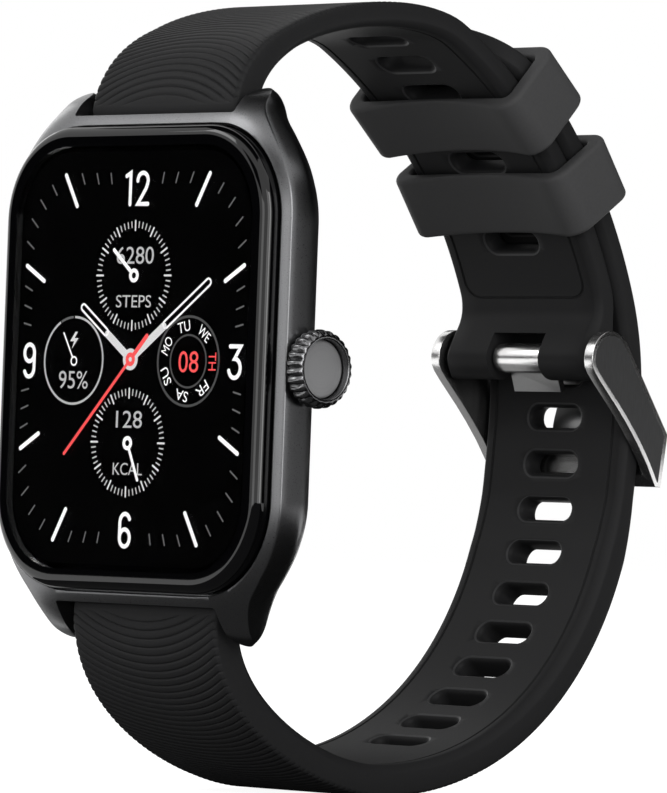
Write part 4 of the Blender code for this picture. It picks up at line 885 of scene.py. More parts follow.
    @staticmethod
    def make_card(name: str, stand: Matrix, size: Flat, level: float = 0.0) -> None:
        """Make a dark card that only polished surfaces see.

        Args:
            name: Its name.
            stand: Where and how it stands.
            size: Its width and height.
            level: How light it is, where 1 is white.
        """
        bpy.ops.object.select_all(action="DESELECT")
        bpy.ops.mesh.primitive_plane_add(size=1.0)
        card = bpy.context.active_object
        card.name = name
        card.matrix_world = stand @ Matrix.Diagonal((size[0], size[1], 1.0, 1.0))
        material = bpy.data.materials.new("black_card")
        material.use_nodes = True
        shader = material.node_tree.nodes["Principled BSDF"]
        shader.inputs["Base Color"].default_value = (0.0, 0.0, 0.0, 1.0)
        shader.inputs["Specular IOR Level"].default_value = 0.0
        shader.inputs["Emission Color"].default_value = (1.0, 1.0, 1.0, 1.0)
        shader.inputs["Emission Strength"].default_value = level
        card.data.materials.append(material)
        card.visible_camera = False
        card.visible_diffuse = False
        card.visible_shadow = False

    def make_camera(self) -> None:
        """Make the camera that matches the photograph."""
        data = bpy.data.cameras.new("camera")
        data.lens = self.lens
        data.sensor_width = 36.0
        data.sensor_fit = "AUTO"
        data.clip_start = 0.01
        data.clip_end = 50.0
        camera = bpy.data.objects.new("camera", data)
        right = Vector(self.camera_right)
        up = -Vector(self.camera_down)
        back = -Vector(self.camera_ahead)
        turn = Matrix((right, up, back)).transposed().to_4x4()
        camera.matrix_world = Matrix.Translation(Vector(self.camera_place)) @ turn
        bpy.context.scene.collection.objects.link(camera)
        bpy.context.scene.camera = camera


@dataclass
class CaseShell:
    """The anodised case: a crisp front band that runs out into four lugs, crowned sides and a tapered back."""

    half: Flat = (18.25 * MM, 21.35 * MM)
    corner: float = 9.4 * MM
    rim: Flat = (17.15 * MM, 20.50 * MM)
    rim_corner: float = 8.4 * MM
    rim_y: float = -9.5 * MM
    floor_y: float = -8.8 * MM
    edge_y: float = -9.0 * MM
    back_y: float = -1.1 * MM
    crown_y: float = -7.2 * MM
    crown: float = 0.22 * MM
    taper_y: float = -7.0 * MM
    taper: float = 5.75 * MM
    bar: Flat = (-6.2 * MM, 22.0 * MM)
    lug: Flat = (10.25 * MM, 12.75 * MM)
    tips: Flat = (23.65 * MM, 24.6 * MM)
    tip_corners: Flat = (1.6 * MM, 1.2 * MM)
    tip_heading: float = 112.0
    tip_round: float = 1.6 * MM
    waist: Flat = (14.6 * MM, 20.2 * MM)
    waist_heading: float = 131.0
    lug_start: float = 16.0 * MM
    fall: float = 0.315
    fall_ends: Flat = (-20.0 * MM, 20.0 * MM)
    fall_growth: Flat = (85.0, 140.0)
    tip_part: float = 0.85
    lug_back: Flat = (-5.9 * MM, -3.9 * MM)
    lug_taper: float = 0.8
    edge: float = 0.10 * MM

    def quarter(self, tip: float) -> list[Flat]:
        """Return a quarter of the plan from the middle of the side to the middle of the end.

        Args:
            tip: How far the lug reaches from the middle.

        Returns:
            The X, Z points.
        """
        turn = self.half[1] - self.corner
        lean = self.tip_heading - 90.0
        way = (math.cos(math.radians(lean)), math.sin(math.radians(lean)))
        outer, inner = self.tip_corners
        neck = (self.lug[1], tip - outer * (1.0 - way[1]))
        shoulder = span((self.half[0], turn), 90.0, 3.8 * MM, self.waist, self.waist_heading, 3.2 * MM)
        hollow = span(self.waist, self.waist_heading, 1.1 * MM, neck, self.tip_heading, 1.1 * MM)
        middle = neck[0] - outer * way[0]
        points = [(self.half[0], turn * part) for part in (0.0, 0.2, 0.4, 0.6, 0.8)]
        points += [tuple(point) for point in np.concatenate([shoulder[::3], hollow[3::3]])]
        points += arc((middle, tip - outer), (outer, outer), lean, 90.0, 15)[1:]
        points += arc((middle, tip - inner), (inner, inner), 90.0, 150.0, 10)[1:]
        return points + [(self.lug[0] * part, self.half[1] + 1.0 * MM) for part in (0.8, 0.6, 0.3, 0.0)]

    def plan(self) -> np.ndarray:
        """Return the whole plan outline, anticlockwise from the middle of the crown side."""
        upper = self.quarter(self.tips[0])
        lower = self.quarter(self.tips[1])
        ring = upper + [(-x, z) for x, z in reversed(upper[:-1])]
        ring += [(-x, -z) for x, z in lower[1:]]
        return np.array(ring + [(x, -z) for x, z in reversed(lower[1:-1])])

    def inset(self, levels: np.ndarray) -> np.ndarray:
        """Return how far the wall stands inside its widest outline at Y levels."""
        back = span((0.0, self.taper_y), 80.0, 1.6 * MM, (self.taper, self.back_y), 32.0, 2.0 * MM)
        crowning = np.clip((self.crown_y - levels) / (self.crown_y - self.edge_y), 0.0, 1.0)
        return np.interp(levels, back[:, 1], back[:, 0]) + self.crown * crowning**2

    def lug_share(self, levels: np.ndarray, front: np.ndarray) -> np.ndarray:
        """Return how much of the lugs' length shows at Y levels behind the front edge."""
        start = np.maximum(front, self.lug_back[0])
        share = np.clip((levels - start) / (self.lug_back[1] - start), 0.0, 1.0)
        return np.sqrt(1.0 - share**2)

    def front(self, flat: np.ndarray) -> np.ndarray:
        """Return the Y of the front face, which falls away from the rim and rounds over at the lugs' tips."""
        out = np.maximum(np.abs(flat) - np.array(self.rim) + self.rim_corner, 0.0)
        away = np.maximum(np.linalg.norm(out, axis=1) - self.rim_corner, 0.0)
        growth = np.interp(flat[:, 1], self.fall_ends, self.fall_growth)
        tips = np.where(flat[:, 1] > 0, self.tips[0], self.tips[1])
        over = np.clip(np.abs(flat[:, 1]) - tips + self.tip_part * self.tip_round, 0.0, self.tip_round)
        rounding = self.tip_round - np.sqrt(self.tip_round**2 - over**2)
        return self.rim_y + self.fall * away + growth * away**2 + rounding

    def rings(self) -> np.ndarray:
        """Return the rings from the floor of the glass's seat, over rim and wall, to the back."""
        plan = self.plan()
        inner = np.array(self.half) - self.corner
        roots = np.clip(plan, -inner, inner)
        full = np.linalg.norm(plan - roots, axis=1)
        ways = (plan - roots) / full[:, None]
        rim = np.array([ray_exit(root, way, self.rim, self.rim_corner) for root, way in zip(roots, ways)])
        tips = np.where(plan[:, 1] > 0, self.tips[0], self.tips[1])
        share = np.clip((np.abs(plan[:, 1]) - self.lug_start) / (tips - self.lug_start), 0.0, 1.0)
        brink = full - self.crown * (1.0 - share)
        front = self.front(roots + ways * brink[:, None])

        def wall(part: float) -> np.ndarray:
            """Return the ring at a share of the way from the front edge to the back."""
            levels = front + (self.back_y - front) * part
            inset = self.inset(levels) * (1.0 - self.lug_taper * share * (1.0 - part))
            reach = self.corner - inset + (full - self.corner) * self.lug_share(levels, front)
            return self.placed(roots, ways, reach, levels)

        def face(part: float) -> np.ndarray:
            """Return the ring at a share of the way from the rim to the front edge."""
            reach = rim + (brink - rim) * part
            return self.placed(roots, ways, reach, self.front(roots + ways * reach[:, None]))

        edge = face(1.0)
        before = edge + self.toward(face(0.9) - edge)
        after = edge + self.toward(wall(0.08) - edge)
        lip = ((0.12, self.floor_y), (0.12, self.rim_y + 0.12 * MM), (0.09, self.rim_y + 0.05 * MM), (0.05, self.rim_y + 0.01 * MM))
        rings = []
        for inset, level in lip:
            rings.append(self.placed(roots, ways, rim - inset * MM, np.full(len(rim), level)))
        rings += [face(part) for part in (0.0, 0.1, 0.2, 0.3, 0.4, 0.5, 0.6, 0.7, 0.78, 0.85, 0.91)]
        rings += [before, 0.25 * before + 0.5 * edge + 0.25 * after, after]
        rings += [wall(part) for part in np.concatenate([np.linspace(0.08, 0.3, 7), np.linspace(0.35, 1.0, 14)])]
        return np.array(rings)

    def toward(self, ways: np.ndarray) -> np.ndarray:
        """Return steps of the edge's rounding along ways."""
        return self.edge * ways / np.linalg.norm(ways, axis=1)[:, None]

    @staticmethod
    def placed(roots: np.ndarray, ways: np.ndarray, reach: np.ndarray, levels: np.ndarray) -> np.ndarray:
        """Return the points at reaches along plan rays and at Y levels."""
        flat = roots + ways * reach[:, None]
        return np.stack([flat[:, 0], levels, flat[:, 1]], axis=1)

    def cutters(self) -> list[bpy.types.Object]:
        """Return the tools of the hollow, the lug gaps, the spring bars, the crown and the ports."""
        tools = [
            Form.prism(Form.rounded((15.4 * MM, 18.8 * MM), 5.95 * MM), 1, -9.1 * MM, -4.7 * MM),
            Form.prism(Form.rounded((9.9 * MM, 13.0 * MM), 6.5 * MM), 1, -5.0 * MM, -2.6 * MM),
            Form.prism(Form.rounded((11.75 * MM, 14.85 * MM), 5.15 * MM), 1, -2.95 * MM, -0.8 * MM),
            Form.prism(self.circle((-6.6 * MM, -0.6 * MM), 1.58 * MM), 0, 15.0 * MM, 19.0 * MM),
            Form.prism(self.circle((-6.0 * MM, -6.0 * MM), 0.4 * MM), 0, -19.0 * MM, -15.0 * MM),
        ]
        port = Form.rounded((0.4 * MM, 2.5 * MM), 0.39 * MM) + np.array((-6.0 * MM, 8.0 * MM))
        tools.append(Form.prism(port, 0, -19.0 * MM, -15.0 * MM))
        for end in (1.0, -1.0):
            gap = Form.rounded((self.lug[0], 5.0 * MM), 0.3 * MM) + np.array((0.0, end * (self.half[1] + 5.0 * MM)))
            tools.append(Form.prism(gap, 1, -9.9 * MM, -0.7 * MM))
            axis = (self.bar[0], end * self.bar[1])
            tools.append(Form.prism(self.circle(axis, 2.15 * MM), 0, -self.lug[0], self.lug[0]))
            tools.append(Form.prism(self.circle(axis, 0.5 * MM), 0, -11.65 * MM, 11.65 * MM))
        return tools

    @staticmethod
    def circle(centre: Flat, radius: float) -> np.ndarray:
        """Return the outline of a round hole."""
        return np.array(arc(centre, (radius, radius), 0.0, 352.5, 48))

    def build(self) -> None:
        """Make the case and cut everything out of it that is not metal."""
        shell = Form.skin("case_shell", self.rings())
        Bench.take(shell)
        bpy.ops.object.mode_set(mode="EDIT")
        bpy.ops.mesh.select_all(action="SELECT")
        bpy.ops.mesh.quads_convert_to_tris()
        Bench.leave()
        for tool in self.cutters():
            Bench.cut(shell, tool)
        Bench.settle(shell, [ANODISED], "case", "anodised", ["case_frame"], 30.0)


@dataclass
class CoverGlass:
    """The cover glass: an inked border with round edges and a clear window."""

    half: Flat = (16.9 * MM, 20.25 * MM)
    corner: float = 8.15 * MM
    face_y: float = -11.0 * MM
    back_y: float = -9.1 * MM
    inner_y: float = -10.35 * MM
    wall: float = 1.75 * MM
    round_in: float = 1.0 * MM
    round_deep: float = 0.8 * MM
    step: float = 0.015 * MM
    overlap: float = 0.2 * MM
    ledge: float = 0.5 * MM
    ledge_y: float = -10.305 * MM

    def ring(self, inset: float, level: float) -> np.ndarray:
        """Return the outline at an inset from the glass's edge.

        Args:
            inset: How far inside the edge it lies.
            level: Its Y.

        Returns:
            The ring's points.
        """
        half = (self.half[0] - inset, self.half[1] - inset)
        flat = Form.rounded(half, self.corner - inset, 22)
        return np.stack([flat[:, 0], np.full(len(flat), level), flat[:, 1]], axis=1)

    def build(self) -> None:
        """Make the border and the window."""
        profile = [(0.0, self.back_y)]
        for turn in np.radians(np.linspace(0.0, 90.0, 13)):
            inset = self.round_in * (1.0 - math.cos(turn))
            profile.append((inset, self.face_y + self.round_deep * (1.0 - math.sin(turn))))
        profile += [(self.wall, self.face_y), (self.wall, self.inner_y + self.step)]
        profile += [(self.wall + self.ledge, self.inner_y + self.step), (self.wall + self.ledge, self.ledge_y)]
        profile.append((self.wall, self.back_y))
        border = Form.skin("glass_border", np.array([self.ring(*step) for step in profile]), endless=True)
        Bench.settle(border, [GLASS_INK], "case", "black_glass", ["cover_glass"], 40.0)
        levels = (self.face_y + self.step, self.inner_y)
        rings = [self.ring(self.wall - self.overlap, level) for level in levels]
        window = Form.skin("glass_window", np.array(rings))
        Bench.settle(window, [CLEAR_GLASS], "case", "black_glass", ["cover_glass"], 30.0)


@dataclass
class Dial:
    """What the display shows: numerals, marks, small dials and hands, as thin lit shapes."""

    front_y: float = -10.31 * MM
    layer: float = 0.007 * MM
    sheet: float = 0.004 * MM
    edge: Flat = (14.1, 16.15)
    edge_corner: float = 6.5
    hub: Flat = (0.0, -0.1)

    def __post_init__(self) -> None:
        """Start the list of shapes of each finish."""
        self.shapes: dict[Finish, list[bpy.types.Object]] = {}

    def build(self) -> None:
        """Make every mark and join the marks of each colour."""
        self.make_numerals()
        self.make_hour_bars()
        self.make_minute_ticks()
        self.make_step_dial()
        self.make_energy_dial()
        self.make_charge_dial()
        self.make_date_dial()
        self.make_hands()
        for finish, shapes in self.shapes.items():
            piece = Bench.join("dial_" + finish.name, shapes)
            Bench.settle(piece, [finish], "case", "display", (), 30.0)

    def add(self, finish: Finish, layer: int, outlines: Sequence[Sequence[Flat]], faces: list[tuple[int, ...]]) -> None:
        """Add one flat shape, given a little thickness.

        Args:
            finish: Its lit finish.
            layer: Its layer, where a higher one lies nearer the glass.
            outlines: Lists of points in millimetres on the display.
            faces: Faces as numbers of the points of all lists in order.
        """
        flat = np.concatenate([np.asarray(outline, float) for outline in outlines]) * MM
        level = self.front_y - layer * self.layer
        points = np.stack([flat[:, 0], np.full(len(flat), level), flat[:, 1]], axis=1)
        item = Form.mesh("mark", points, faces)
        Bench.take(item)
        bpy.ops.object.mode_set(mode="EDIT")
        bpy.ops.mesh.select_all(action="SELECT")
        bpy.ops.mesh.extrude_region_move(TRANSFORM_OT_translate={"value": (0.0, -self.sheet, 0.0)})
        bpy.ops.mesh.select_all(action="SELECT")
        bpy.ops.mesh.normals_make_consistent(inside=False)
        Bench.leave()
        self.shapes.setdefault(finish, []).append(item)

    def fill(self, finish: Finish, layer: int, outline: Sequence[Flat]) -> None:
        """Add one filled outline.

        Args:
            finish: Its lit finish.
            layer: Its layer.
            outline: The outline in millimetres.
        """
        self.add(finish, layer, [outline], [tuple(range(len(outline)))])

    def band(self, finish: Finish, layer: int, outer: Sequence[Flat], inner: Sequence[Flat], closed: bool = True) -> None:
        """Add the band between two lines of equal point count.

        Args:
            finish: Its lit finish.
            layer: Its layer.
            outer: The outer line in millimetres.
            inner: The inner line.
            closed: Join the last points to the first.
        """
        count = len(outer)
        faces = []
        for index in range(count if closed else count - 1):
            ahead = (index + 1) % count
            faces.append((index, ahead, count + ahead, count + index))
        self.add(finish, layer, [outer, inner], faces)

    def stroke(self, finish: Finish, layer: int, line: Sequence[Flat], width: float) -> None:
        """Add a line of even width with round ends.

        Args:
            finish: Its lit finish.
            layer: Its layer.
            line: The middle of the stroke in millimetres.
            width: Its width in millimetres.
        """
        points = np.asarray(line, float)
        steps = np.diff(points, axis=0)
        steps /= np.linalg.norm(steps, axis=1)[:, None]
        ahead = np.concatenate([steps, steps[-1:]])
        behind = np.concatenate([steps[:1], steps])
        middle = ahead + behind
        middle /= np.linalg.norm(middle, axis=1)[:, None]
        reach = width / 2 / np.clip(np.sum(middle * ahead, axis=1), 0.5, 1.0)
        side = np.stack([-middle[:, 1], middle[:, 0]], axis=1) * reach[:, None]
        left = [tuple(point) for point in points + side]
        right = [tuple(point) for point in points - side]
        last = math.degrees(math.atan2(steps[-1][1], steps[-1][0]))
        first = math.degrees(math.atan2(steps[0][1], steps[0][0]))
        radii = (width / 2, width / 2)
        tip = arc(tuple(points[-1]), radii, last + 90.0, last - 90.0, 9)[1:-1]
        root = arc(tuple(points[0]), radii, first - 90.0, first - 270.0, 9)[1:-1]
        self.fill(finish, layer, left + tip + right[::-1] + root)

    def ring(self, finish: Finish, layer: int, centre: Flat, radius: float, width: float,
             start: float = 0.0, end: float = 360.0) -> None:
        """Add a ring or a part of one.

        Args:
            finish: Its lit finish.
            layer: Its layer.
            centre: Its centre in millimetres.
            radius: Its middle radius.
            width: Its width.
            start: Where it starts, in degrees.
            end: Where it ends.
        """
        closed = end - start > 359.0
        steps = 72
        stop = end - (end - start) / steps if closed else end
        lines = []
        for size in (radius + width / 2, radius - width / 2):
            lines.append(arc(centre, (size, size), start, stop, steps))
        self.band(finish, layer, lines[0], lines[1], closed)

    def words(self, finish: Finish, layer: int, text: str, centre: Flat, size: Flat, turn: float = 0.0) -> None:
        """Add a word or a number fitted to a box.

        Args:
            finish: Its lit finish.
            layer: Its layer.
            text: What it says.
            centre: The middle of the box in millimetres.
            size: The box's width and height.
            turn: How far it is turned, in degrees anticlockwise.
        """
        bpy.ops.object.select_all(action="DESELECT")
        bpy.ops.object.text_add()
        item = bpy.context.active_object
        item.data.body = text
        item.data.extrude = 0.5
        item.data.resolution_u = 4
        bpy.ops.object.convert(target="MESH")
        item = bpy.context.active_object
        corners = np.array([vertex.co for vertex in item.data.vertices])
        low, high = corners.min(axis=0), corners.max(axis=0)
        middle = Vector((low + high) / 2)
        scale = (size[0] / (high[0] - low[0]), size[1] / (high[1] - low[1]))
        fit = Matrix.Diagonal((scale[0] * MM, scale[1] * MM, self.sheet, 1.0))
        level = self.front_y - layer * self.layer - self.sheet / 2
        stand = Matrix.Rotation(math.radians(90.0), 4, "X")
        spin = Matrix.Rotation(math.radians(-turn), 4, "Y")
        shift = Matrix.Translation((centre[0] * MM, level, centre[1] * MM))
        item.data.transform(shift @ spin @ stand @ fit @ Matrix.Translation(-middle))
        Bench.tidy(item)
        self.shapes.setdefault(finish, []).append(item)

    def make_numerals(self) -> None:
        """Make the four large numerals from strokes."""
        width = 0.38
        self.stroke(LIT_WHITE, 0, [(-1.36, 15.86), (-0.84, 16.12), (-0.84, 13.40)], width)
        two = arc((0.74, 15.45), (0.66, 0.68), 180.0, -20.0)
        two += [(1.18, 14.78), (0.16, 13.42), (1.46, 13.42)]
        self.stroke(LIT_WHITE, 0, two, width)
        three = [(12.60, 1.12), (13.92, 1.12), (13.18, 0.06)]
        three += arc((13.20, -0.76), (0.72, 0.82), 85.0, -165.0, 20)
        self.stroke(LIT_WHITE, 0, three, width)
        nine = arc((-13.2, 0.47), (0.64, 0.74), 0.0, 360.0, 28)[:-1]
        tail = [(-12.56, 0.47), (-12.56, -0.86)] + arc((-13.2, -0.86), (0.64, 0.76), 0.0, -155.0)[1:]
        for turn, shift in ((1.0, (0.0, -0.1)), (-1.0, (-13.12, -15.15))):
            bowl = [(turn * x + shift[0], turn * z + shift[1]) for x, z in nine]
            outer = self.grown(bowl, width / 2)
            inner = self.grown(bowl, -width / 2)
            self.band(LIT_WHITE, 0, outer, inner)
            self.stroke(LIT_WHITE, 0, [(turn * x + shift[0], turn * z + shift[1]) for x, z in tail], width)

    @staticmethod
    def grown(outline: Sequence[Flat], distance: float) -> list[Flat]:
        """Return a closed outline moved away from its middle.

        Args:
            outline: The points.
            distance: How far they move.

        Returns:
            The moved points.
        """
        points = np.asarray(outline, float)
        away = points - points.mean(axis=0)
        away /= np.linalg.norm(away, axis=1)[:, None]
        return [tuple(point) for point in points + distance * away]

    def on_edge(self, turn: float, inset: float) -> Flat:
        """Return where a line from the middle meets the marks' rounded rectangle.

        Args:
            turn: The line's direction in degrees clockwise from twelve.
            inset: How far inside the rectangle the place is.

        Returns:
            The place in millimetres.
        """
        way = (math.sin(math.radians(turn)), math.cos(math.radians(turn)))
        half = (self.edge[0] - inset, self.edge[1] - inset)
        reach = ray_exit((0.0, 0.0), way, half, self.edge_corner - 0.5 * inset)
        return way[0] * reach, way[1] * reach

    def make_hour_bars(self) -> None:
        """Make the eight white hour bars between the numerals."""
        for hour in range(12):
            if hour % 3 == 0:
                continue
            tall = hour in (1, 5, 7, 11)
            turn = 30.0 * hour
            way = (math.sin(math.radians(turn)), math.cos(math.radians(turn)))
            outer = 16.0 / abs(way[1]) if tall else 13.95 / abs(way[0])
            inner = 13.3 / abs(way[1]) if tall else 11.65 / abs(way[0])
            line = [(way[0] * inner, way[1] * inner), (way[0] * outer, way[1] * outer)]
            self.stroke(LIT_WHITE, 0, line, 0.40)

    def make_minute_ticks(self) -> None:
        """Make the dim minute ticks, which leave out the places beside the numerals."""
        for minute in range(60):
            if minute % 5 == 0 or minute % 15 in (1, 14):
                continue
            turn = 6.0 * minute
            self.stroke(LIT_GREY, 0, [self.on_edge(turn, 0.92), self.on_edge(turn, 0.04)], 0.15)

    def make_scale(self, centre: Flat, radius: float) -> None:
        """Make the ring of ticks of a small dial.

        Args:
            centre: Its centre in millimetres.
            radius: Its outer radius.
        """
        for tick in range(60):
            major = tick % 5 == 0
            turn = math.radians(6.0 * tick)
            way = (math.sin(turn), math.cos(turn))
            inner = radius - (0.82 if major else 0.56)
            outer = radius if major else radius - 0.08
            line = [(centre[0] + way[0] * size, centre[1] + way[1] * size) for size in (inner, outer)]
            self.stroke(LIT_SILVER if major else LIT_SOFT, 0, line, 0.17 if major else 0.13)

    def make_needle(self, centre: Flat, tip: Flat, width: float, size: float, hole: float) -> None:
        """Make a small needle with a ring at its root.

        Args:
            centre: The middle of the ring in millimetres.
            tip: The needle's tip.
            width: The needle's width.
            size: The ring's outer radius.
            hole: The ring's inner radius.
        """
        way = np.array(tip) - np.array(centre)
        root = np.array(centre) + way / np.linalg.norm(way) * (size + hole) / 2
        self.stroke(LIT_WHITE, 1, [tuple(root), tip], width)
        self.ring(LIT_WHITE, 1, centre, (size + hole) / 2, size - hole)

    def make_step_dial(self) -> None:
        """Make the upper small dial."""
        self.make_scale((0.0, 7.2), 4.76)
        self.words(LIT_SOFT, 0, "6280", (0.12, 8.95), (4.75, 1.5))
        self.words(LIT_SOFT, 0, "STEPS", (0.1, 4.95), (4.5, 1.08))
        self.make_needle((0.03, 7.2), (-2.62, 9.42), 0.36, 0.62, 0.26)

    def make_energy_dial(self) -> None:
        """Make the lower small dial."""
        self.make_scale((0.0, -7.33), 4.7)
        self.words(LIT_SOFT, 0, "128", (0.1, -5.32), (3.35, 1.5))
        self.words(LIT_SOFT, 0, "KCAL", (0.12, -9.63), (3.75, 1.06))
        self.make_needle((0.0, -7.38), (1.44, -10.55), 0.30, 0.62, 0.26)

    def make_charge_dial(self) -> None:
        """Make the left small dial with its ring, bolt, needle and number."""
        centre = (-7.38, -0.25)
        self.ring(LIT_SOFT, 0, centre, 3.80, 0.20, -241.0, 90.0)
        self.ring(LIT_GREY, 0, centre, 3.80, 0.20, 93.0, 117.0)
        bolt = [(0.12, 0.72), (-0.55, -0.12), (-0.02, -0.12), (-0.30, -0.80), (0.55, 0.16), (0.04, 0.16), (0.42, 0.72)]
        self.fill(LIT_SILVER, 0, [(-7.38 + x, 1.55 + z) for x, z in bolt])
        self.make_needle((-7.33, -0.3), (-8.76, 2.14), 0.17, 0.44, 0.28)
        self.words(LIT_SOFT, 0, "95%", (-7.32, -1.95), (3.8, 1.55))

    def make_date_dial(self) -> None:
        """Make the right small dial with its rings, the days and the date."""
        centre = (7.36, -0.2)
        self.ring(LIT_DIM, 0, centre, 3.86, 0.22)
        self.ring(LIT_DIM, 0, centre, 2.26, 0.17)
        self.words(LIT_RED, 0, "08", (7.40, -0.25), (2.5, 1.85))
        days = ("TH", "WE", "TU", "MO", "SU", "SA", "FR")
        for number, day in enumerate(days):
            turn = 360.0 / 7.0 * number
            way = (math.cos(math.radians(turn)), math.sin(math.radians(turn)))
            place = (centre[0] + 3.04 * way[0], centre[1] + 3.04 * way[1])
            finish = LIT_RED if day == "TH" else LIT_WHITE
            self.words(finish, 0, day, place, (1.55, 0.92), turn - 90.0)

    def make_baton(self, layer: int, tip: Flat, width: float, solid: float) -> None:
        """Make a hand whose outer part is an open outline.

        Args:
            layer: Its layer.
            tip: The hand's tip in millimetres.
            width: Its width.
            solid: How far the filled part reaches from the hub.
        """
        way = np.array(tip) - np.array(self.hub)
        length = float(np.linalg.norm(way))
        turn = math.degrees(math.atan2(way[1], way[0]))
        axis = way / length
        start = np.array(self.hub) + axis * (solid + 0.3)
        end = np.array(tip) - axis * width / 2
        lines = []
        for radius in (width / 2, width / 2 - 0.19):
            line = arc(tuple(end), (radius, radius), turn + 90.0, turn - 90.0, 10)
            line += arc(tuple(start), (radius, radius), turn - 90.0, turn - 270.0, 10)
            lines.append(line)
        self.band(LIT_WHITE, layer, lines[0], lines[1])
        root = [self.hub, tuple(np.array(self.hub) + axis * solid)]
        self.stroke(LIT_SILVER, layer, root, width * 0.92)

    def make_hands(self) -> None:
        """Make the hour, minute and second hands over their hub."""
        self.make_baton(2, (-6.60, 4.62), 0.78, 3.75)
        self.make_baton(3, (9.90, 6.85), 0.82, 5.0)
        disc = arc(self.hub, (0.95, 0.95), 0.0, 350.0, 36)
        self.fill(LIT_SILVER, 3, disc)
        way = np.array((2.02, 1.95)) - np.array((-8.15, -8.42))
        axis = way / np.linalg.norm(way)
        hub = np.array(self.hub)
        self.stroke(LIT_RED, 4, [tuple(hub + 0.4 * axis), (2.02, 1.95)], 0.42)
        self.stroke(LIT_RED, 4, [(-8.15, -8.42), tuple(hub - 0.4 * axis)], 0.30)
        self.ring(LIT_RED, 4, self.hub, 0.40, 0.40)


@dataclass
class Crown:
    """The fluted crown with its recessed bare cap."""

    axis_y: float = -6.6 * MM
    axis_z: float = -0.6 * MM
    back_x: float = 18.7 * MM
    face_x: float = 20.4 * MM
    radius: float = 3.4 * MM
    flutes: int = 26
    flute_steps: int = 10
    flute_depth: float = 0.24 * MM
    bore: float = 0.8 * MM
    bore_depth: float = 0.65 * MM
    recess: float = 2.58 * MM
    recess_x: float = 19.45 * MM
    cap_radius: float = 2.5 * MM
    cap_low_x: float = 19.46 * MM
    cap_top_x: float = 19.76 * MM

    def ring(self, level: float, radius: float, depth: float) -> np.ndarray:
        """Return one ring of the crown.

        Args:
            level: Its X.
            radius: Its largest radius.
            depth: How deep the flutes are there.

        Returns:
            The ring's points.
        """
        count = self.flutes * self.flute_steps
        turns = np.linspace(0.0, 2 * math.pi, count, endpoint=False)
        wave = np.abs(np.sin(0.5 * self.flutes * turns))
        size = radius - depth * (1.0 - wave)
        y = self.axis_y + size * np.cos(turns)
        z = self.axis_z + size * np.sin(turns)
        return np.stack([np.full(count, level), y, z], axis=1)

    def build(self) -> None:
        """Make the wheel and its cap."""
        deep = self.flute_depth
        steps = [
            (self.back_x + self.bore_depth, self.bore, 0.0),
            (self.back_x, self.bore, 0.0),
            (self.back_x, self.radius - 0.34 * MM, 0.2 * deep),
            (self.back_x + 0.05 * MM, self.radius - 0.22 * MM, 0.6 * deep),
            (self.back_x + 0.18 * MM, self.radius - 0.06 * MM, deep),
            (self.back_x + 0.36 * MM, self.radius, deep),
            (self.face_x - 0.85 * MM, self.radius, deep),
            (self.face_x - 0.60 * MM, self.radius - 0.03 * MM, deep),
            (self.face_x - 0.36 * MM, self.radius - 0.12 * MM, deep),
            (self.face_x - 0.16 * MM, self.radius - 0.26 * MM, 0.8 * deep),
            (self.face_x - 0.04 * MM, self.radius - 0.42 * MM, 0.3 * deep),
            (self.face_x, self.radius - 0.56 * MM, 0.0),
            (self.face_x, self.recess + 0.10 * MM, 0.0),
            (self.face_x - 0.04 * MM, self.recess + 0.03 * MM, 0.0),
            (self.face_x - 0.12 * MM, self.recess, 0.0),
            (self.recess_x, self.recess, 0.0),
        ]
        wheel = Form.skin("crown_wheel", np.array([self.ring(*step) for step in steps]))
        Bench.settle(wheel, [CROWN_METAL], "crown", "anodised", ["crown_knob"], 45.0)
        steps = [
            (self.cap_low_x, self.cap_radius, 0.0),
            (self.cap_top_x - 0.16 * MM, self.cap_radius, 0.0),
            (self.cap_top_x - 0.08 * MM, self.cap_radius - 0.04 * MM, 0.0),
            (self.cap_top_x - 0.02 * MM, self.cap_radius - 0.12 * MM, 0.0),
            (self.cap_top_x, self.cap_radius - 0.24 * MM, 0.0),
        ]
        cap = Form.skin("crown_disc", np.array([self.ring(*step) for step in steps]))
        Bench.settle(cap, [CROWN_DISC], "crown", "anodised", ["crown_cap"], 50.0)


